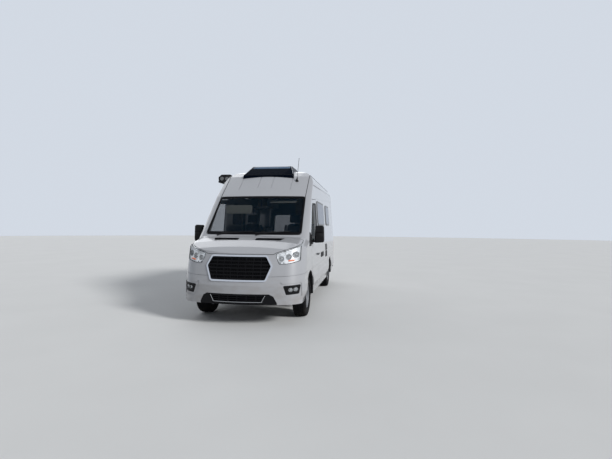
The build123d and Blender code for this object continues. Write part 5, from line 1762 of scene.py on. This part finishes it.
@dataclass
class Roof:
    """Roof window frame, seams, vent lid, awning fittings and aerial foot.

    `seam_spans` holds first station, last station and number of points, and `gutter` (station,
    height) of the groove's ends. `rail_ends` and the aerial's `mast` hold (x, station), `roll_at` and
    `crank_eye` (station, height), and `discs` (x, height). `window_foot` holds the seal's half width,
    the station that its rays leave from, and its height.
    """

    shop: Workshop
    seam_x: float = 0.838
    seam_spans: tuple = ((1.50, 2.6, 60), (2.65, 5.86, 60))
    gutter: tuple = ((1.985, 2.417), (5.880, 2.506))
    brow_half: float = 0.40
    brow_at: float = 2.36
    rail_ends: tuple = ((0.505, 2.02), (0.412, 2.34))
    roll_half: float = 0.418
    roll_at: tuple = (2.287, 2.803)
    roll_radius: float = 0.045
    window_foot: tuple = (0.52, 1.5, 2.632)
    vent_ribs: tuple = (-0.14, -0.07, 0.0, 0.07, 0.14)
    mast: tuple = (0.610, 1.9)
    mast_foot: tuple = ((-0.010, 0.034), (0.004, 0.032), (0.020, 0.022), (0.046, 0.014), (0.050, 0.0))
    mast_axis: tuple = (0, -0.35, 0.94)
    discs: tuple = ((-1.085, 2.600), (-0.975, 2.596))
    disc: tuple = ((-0.004, 0.0), (-0.004, 0.036), (0.0, 0.040), (0.006, 0.040), (0.006, 0.0))
    disc_at: float = 2.219
    crank_eye: tuple = ((2.215, 2.520), (2.205, 2.505), (2.215, 2.490), (2.225, 2.505))
    crank_x: float = -1.03

    def build(self) -> None:
        """Makes the roof's details."""
        skin = Skin("skylight", "roof_panel")
        self.window_frame(skin)
        self.seams()
        self.awning_parts()
        vent = [block((-0.215, 0.215), (4.135, 4.565), (2.846, 2.862), 0.008)]
        vent += [block((x - 0.006, x + 0.006), (4.15, 4.55), (2.858, 2.866), 0.003) for x in self.vent_ribs]
        self.shop.add("vent_lid", vent, "van", "grey_plastic", "smoked_lid")
        foot = lathe(self.mast_foot, skin.from_above([self.mast])[0], self.mast_axis)
        self.shop.add("aerial_foot", [foot], "van", "black_plastic")

    def seams(self) -> None:
        """Black sealant along the roof panel's two seams, and a black strip in the gutter groove of each
        side, painted shade for the groove's shadow.
        """
        skin = Skin("roof_panel", "body_side_left", "body_side_right")
        along = np.concatenate([np.linspace(*span) for span in self.seam_spans])
        lines = [tube(skin.from_above([(self.seam_x * sign, place) for place in along]), 0.0055, 6)
                 for _, sign in SIDES]
        self.shop.add("roof_seams", lines, "van", "black_plastic", "rubber_seal")
        gutters = []
        for side, sign in SIDES:
            skin = Skin("body_side_" + side, "roof_panel", "sliding_door")
            gutters.append(tube(skin.from_side(np.linspace(*self.gutter, 60), sign), 0.0045, 6))
        # Black strip in each gutter groove: painted shade for the shadow in the groove.
        self.shop.add("gutter_painted_shade", gutters, "van", "black_plastic", "rubber_seal")

    def window_frame(self, skin: Skin) -> None:
        """Bright rails over the roof window, its glossy front roll, whose lighter navy is a painted
        reflection of the sky along the window's top, and the seal at its foot.

        The roll is a bar whose radius shrinks to nothing at its ends, as the square root of
        one less the twelfth power of the share of its length.
        """
        brow = [(x, self.brow_at) for x in np.linspace(-self.brow_half, self.brow_half, 30)]
        rails = [tube(skin.from_above(brow, 0.001), 0.009, 8, False, 0.6)]
        for sign in (-1.0, 1.0):
            view = np.linspace(*self.rail_ends, 16) * (sign, 1.0)
            rails.append(tube(skin.from_above(view, 0.001), 0.007, 8, False, 0.6))
        self.shop.add("roof_window_rails", rails, "van", "wheel_metal", "satin_lip")
        x = np.linspace(-self.roll_half, self.roll_half, 40)
        along, height = self.roll_at
        line = np.column_stack([x, np.full(40, station(along)), np.full(40, height)])
        radius = self.roll_radius * np.sqrt(1.0 - (x / (self.roll_half + 0.0005)) ** 12)
        # The roll's lighter navy is a painted reflection of the sky along the window's top.
        self.shop.add("roof_window_roll", [tube(line, radius, 20)], "van", "glazing", "navy_painted_sky_band")
        half, ahead, height = self.window_foot
        foot = [(x, height) for x in np.linspace(-half, half, 40)]
        seal = tube(skin.from_front(foot, ahead, 0.002), 0.008, 6)
        self.shop.add("roof_window_seal", [seal], "van", "black_plastic", "rubber_seal")

    def awning_parts(self) -> None:
        """Lead rail, end discs and crank eye of the awning case."""
        rail = block((-1.166, -1.150), (2.225, 5.475), (2.520, 2.552), 0.005)
        self.shop.add("awning_rail", [rail], "van", "black_plastic", "gloss_black")
        discs = [lathe(self.disc, (x, station(self.disc_at), z), (0, 1, 0)) for x, z in self.discs]
        self.shop.add("awning_discs", discs, "van", "grey_plastic")
        eye = tube([(self.crank_x, station(along), z) for along, z in self.crank_eye], 0.004, 8, True)
        self.shop.add("crank_eye", [eye], "van", "wheel_metal")


@dataclass
class Cabin:
    """Cushions, dashboard details and the fronts of the furniture.

    A row of `seat` or `bench` holds a cushion's x, station and height, and then what `cushion` takes
    after its centre. A seat's x is counted from the seat's middle. `mattress` holds the same without
    the x of each pad. `stem` and `pedal_arm` hold (station, height), `handle` (x, station) and `tap`
    (x, height).
    """

    shop: Workshop
    floor: float = 0.662
    seat_x: float = 0.470
    seat: tuple = (
        (0.0, 2.085, 1.036, (0.310, 0.450, 0.100), 0.014, 0.02, (-0.35, 0.25)),
        (0.0, 2.400, 1.355, (0.304, 0.600, 0.090), 0.014, 0.02, (-0.4, 0.1, 0.5), 1.29),
        (0.0, 2.508, 1.752, (0.236, 0.186, 0.064), 0.008, 0.03, (), 1.29, 12),
        (-0.196, 2.080, 1.041, (0.066, 0.425, 0.108), 0.008, 0.02, (), 0.0, 12),
        (-0.188, 2.390, 1.345, (0.062, 0.570, 0.118), 0.008, 0.02, (), 1.29, 12),
        (0.196, 2.080, 1.041, (0.066, 0.425, 0.108), 0.008, 0.02, (), 0.0, 12),
        (0.188, 2.390, 1.345, (0.062, 0.570, 0.118), 0.008, 0.02, (), 1.29, 12),
    )
    stem_x: tuple = (-0.05, 0.05)
    stem: tuple = ((2.470, 1.62), (2.485, 1.67), (2.495, 1.72))
    bench: tuple = (
        (0.630, 3.190, 1.042, (0.560, 0.350, 0.088), 0.012, 0.02, (0.0,), 0.0, 20),
        (0.625, 3.422, 1.385, (0.550, 0.540, 0.066), 0.010, 0.02, (0.0,), 1.5708, 20),
    )
    mattress: tuple = (5.130, 1.294, (0.596, 1.310, 0.146), 0.008, 0.006, (-0.6, -0.2, 0.2, 0.6), 0.0, 26)
    mattress_x: tuple = (-0.614, 0.0, 0.614)
    bed_panels: tuple = (4.482, 5.702)
    vent_x: tuple = (-0.78, -0.16, 0.16, 0.78)
    vent_slats: tuple = (1.272, 1.284, 1.296)
    vent_ring: tuple = ((0.0, 0.034), (0.006, 0.040), (0.010, 0.040), (0.008, 0.032))
    vent_axis: tuple = (0, 0.955, 0.297)
    knob: tuple = ((0.0, 0.018), (0.012, 0.016), (0.014, 0.0))
    knob_x: tuple = (-0.07, 0.0, 0.07)
    knob_axis: tuple = (0, 0.928, -0.371)
    pedal_x: tuple = (0.36, 0.47, 0.57)
    pedal_arm: tuple = ((1.202, 0.96), (1.300, 0.90), (1.334, 0.85))
    handle: tuple = ((-0.450, 3.74), (-0.440, 3.77), (-0.450, 3.80))
    front_pitch: float = 0.207
    fronts_low: int = 3
    locker_pitch: float = 0.340
    lockers: int = 4
    worktop: float = 1.5595
    sink_rim: tuple = ((0.002, 0.150), (0.006, 0.158), (0.006, 0.166), (0.0, 0.170))
    hob: tuple = ((0.0, 0.070), (0.012, 0.066), (0.014, 0.030), (0.010, 0.0))
    hob_x: tuple = (-0.82, -0.60)
    tap: tuple = ((-0.90, 1.555), (-0.90, 1.72), (-0.86, 1.76), (-0.79, 1.74))
    sink_at: float = 3.86
    hob_at: float = 4.15

    def build(self) -> None:
        """Makes the inside."""
        first, _ = [self.cab_seat(side, sign) for side, sign in SIDES]
        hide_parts("cab_seats")
        self.bench_seat()
        self.bed()
        self.dash()
        self.controls()
        self.fronts()
        self.kitchen_top()

    def pads(self, rows: Sequence[tuple], middle: float = 0.0) -> list:
        """Cushions of a table.

        Args:
            rows: One row for each cushion.
            middle: X that the rows' own x is counted from.

        Returns:
            The cushions.
        """
        return [cushion((middle + x, station(along), z), *form) for x, along, z, *form in rows]

    def cab_seat(self, side: str, sign: float) -> bpy.types.Object:
        """One seat: a cushion, a back with side bolsters, a head rest, its stems and a box.

        Args:
            side: Side's name.
            sign: 1 on the left side, -1 on the right.

        Returns:
            The cushions.
        """
        x = self.seat_x * sign
        pads = self.pads(self.seat, x)
        seat = self.shop.add("seat_cushions_" + side, pads, "van", "seat_cloth")
        inflate(seat, pads)
        self.shop.add("seat_piping_" + side, piping(pads[:2]), "van", "seat_cloth", "piping")
        base = [block((x - 0.195, x + 0.195), (1.910, 2.290), (self.floor, 0.990), 0.018)]
        base += [tube([(x + across, station(along), z) for along, z in self.stem], 0.007, 8)
                 for across in self.stem_x]
        self.shop.add("seat_base_" + side, base, "van", "cabin_plastic")
        return seat

    def bench_seat(self) -> None:
        """Bench: a veneered box with a seat cushion and a back cushion."""
        box = block((0.335, 0.925), (3.005, 3.455), (self.floor, 0.990), 0.006)
        self.shop.add("bench_box", [box], "van", "furniture")
        pads = self.pads(self.bench)
        piece = self.shop.add("bench_cushions", pads, "van", "seat_cloth")
        inflate(piece, pads)
        self.shop.add("bench_piping", piping(pads), "van", "seat_cloth", "piping")
        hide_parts("bench_seat")

    def bed(self) -> None:
        """Bed: a board on two panels, with three mattress pads that meet."""
        base = [block((-0.920, 0.920), (4.462, 5.798), (1.181, 1.212), 0.004)]
        base += [block((-0.636, 0.636), (along, along + 0.018), (self.floor, 1.185), 0.003)
                 for along in self.bed_panels]
        self.shop.add("bed_base", base, "van", "furniture")
        pads = self.pads([(x, *self.mattress) for x in self.mattress_x])
        piece = self.shop.add("mattress_pads", pads, "van", "bedding")
        inflate(piece, pads)
        self.shop.add("mattress_piping", piping(pads), "van", "bedding", "piping")
        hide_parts("bed")

    def dash(self) -> None:
        """Air vents, instrument glass and middle screen."""
        vents = []
        for x in self.vent_x:
            vents.append(lathe(self.vent_ring, (x, station(1.476), 1.285), self.vent_axis, ring=True))
            vents += [tube([(x - 0.030, station(1.482), z), (x + 0.030, station(1.482), z)], 0.002, 6)
                      for z in self.vent_slats]
        self.shop.add("air_vents", vents, "van", "cabin_plastic", "gloss_black")
        dials = block((0.330, 0.610), (1.488, 1.495), (1.348, 1.412), 0.003)
        dials = tilted(dials, (0.470, station(1.491), 1.380), -0.416)
        middle = block((-0.110, 0.110), (1.436, 1.452), (1.335, 1.455), 0.006)
        self.shop.add("dash_screens", [dials, middle], "van", "glazing", "dark_lens")

    def controls(self) -> None:
        """Glove box lid, knobs and pedals."""
        lid = block((-0.700, -0.280), (1.440, 1.455), (1.075, 1.195), 0.006)
        lid = tilted(lid, (-0.490, station(1.448), 1.135), -0.38)
        knobs = [lathe(self.knob, (x, station(1.474), 1.205), self.knob_axis, 24) for x in self.knob_x]
        self.shop.add("glove_box_lid", [lid] + knobs, "van", "cabin_plastic")
        pedals = []
        for x in self.pedal_x:
            pedals.append(block((x - 0.03, x + 0.03), (1.330, 1.345), (0.80, 0.88), 0.006))
            pedals.append(tube([(x, station(along), z) for along, z in self.pedal_arm], 0.007, 8))
        self.shop.add("pedals", pedals, "van", "iron")

    def fronts(self) -> None:
        """Door fronts of the kitchen and the lockers, and the kitchen's handles."""
        steps = self.front_pitch * np.arange(self.fronts_low)
        doors = [block((-0.469, -0.455), (3.672 + step, 3.868 + step), (0.720, 1.480), 0.004)
                 for step in steps]
        for _, sign in SIDES:
            for step in self.locker_pitch * np.arange(self.lockers):
                x = (sign * 0.634 - 0.007, sign * 0.634 + 0.007)
                doors.append(block(x, (4.435 + step, 4.765 + step), (2.130, 2.440), 0.004))
        self.shop.add("cabinet_doors", doors, "van", "furniture", "door_laminate")
        handles = [tube([(x, station(along + step), 1.42) for x, along in self.handle], 0.005, 8)
                   for step in steps]
        self.shop.add("cabinet_handles", handles, "van", "wheel_metal")

    def kitchen_top(self) -> None:
        """Sink with its tap, and the rings of the hob."""
        sink = lathe(self.sink_rim, (-0.72, station(self.sink_at), self.worktop), (0, 0, 1), 40, True)
        spout = smooth_path([(x, station(self.sink_at), z) for x, z in self.tap], 16)
        self.shop.add("sink_and_tap", [sink, tube(spout, 0.009, 10)], "van", "wheel_metal")
        rings = [lathe(self.hob, (x, station(self.hob_at), self.worktop), (0, 0, 1)) for x in self.hob_x]
        self.shop.add("hob_rings", rings, "van", "iron")


def main() -> None:
    """Builds the looks of the van in order."""
    logging.basicConfig(level=logging.INFO, format="%(message)s")
    bpy.context.scene.view_settings.view_transform = "Standard"
    dresser = Dresser()
    dresser.dress()
    shop = Workshop(dresser)
    for assembly in (Nose(shop), Screen(shop), Doors(shop), Wheels(shop), Roof(shop), Cabin(shop)):
        assembly.build()
    Studio().build()
    LOG.info("%d new pieces", shop.count)


if __name__ == "__main__":
    main()
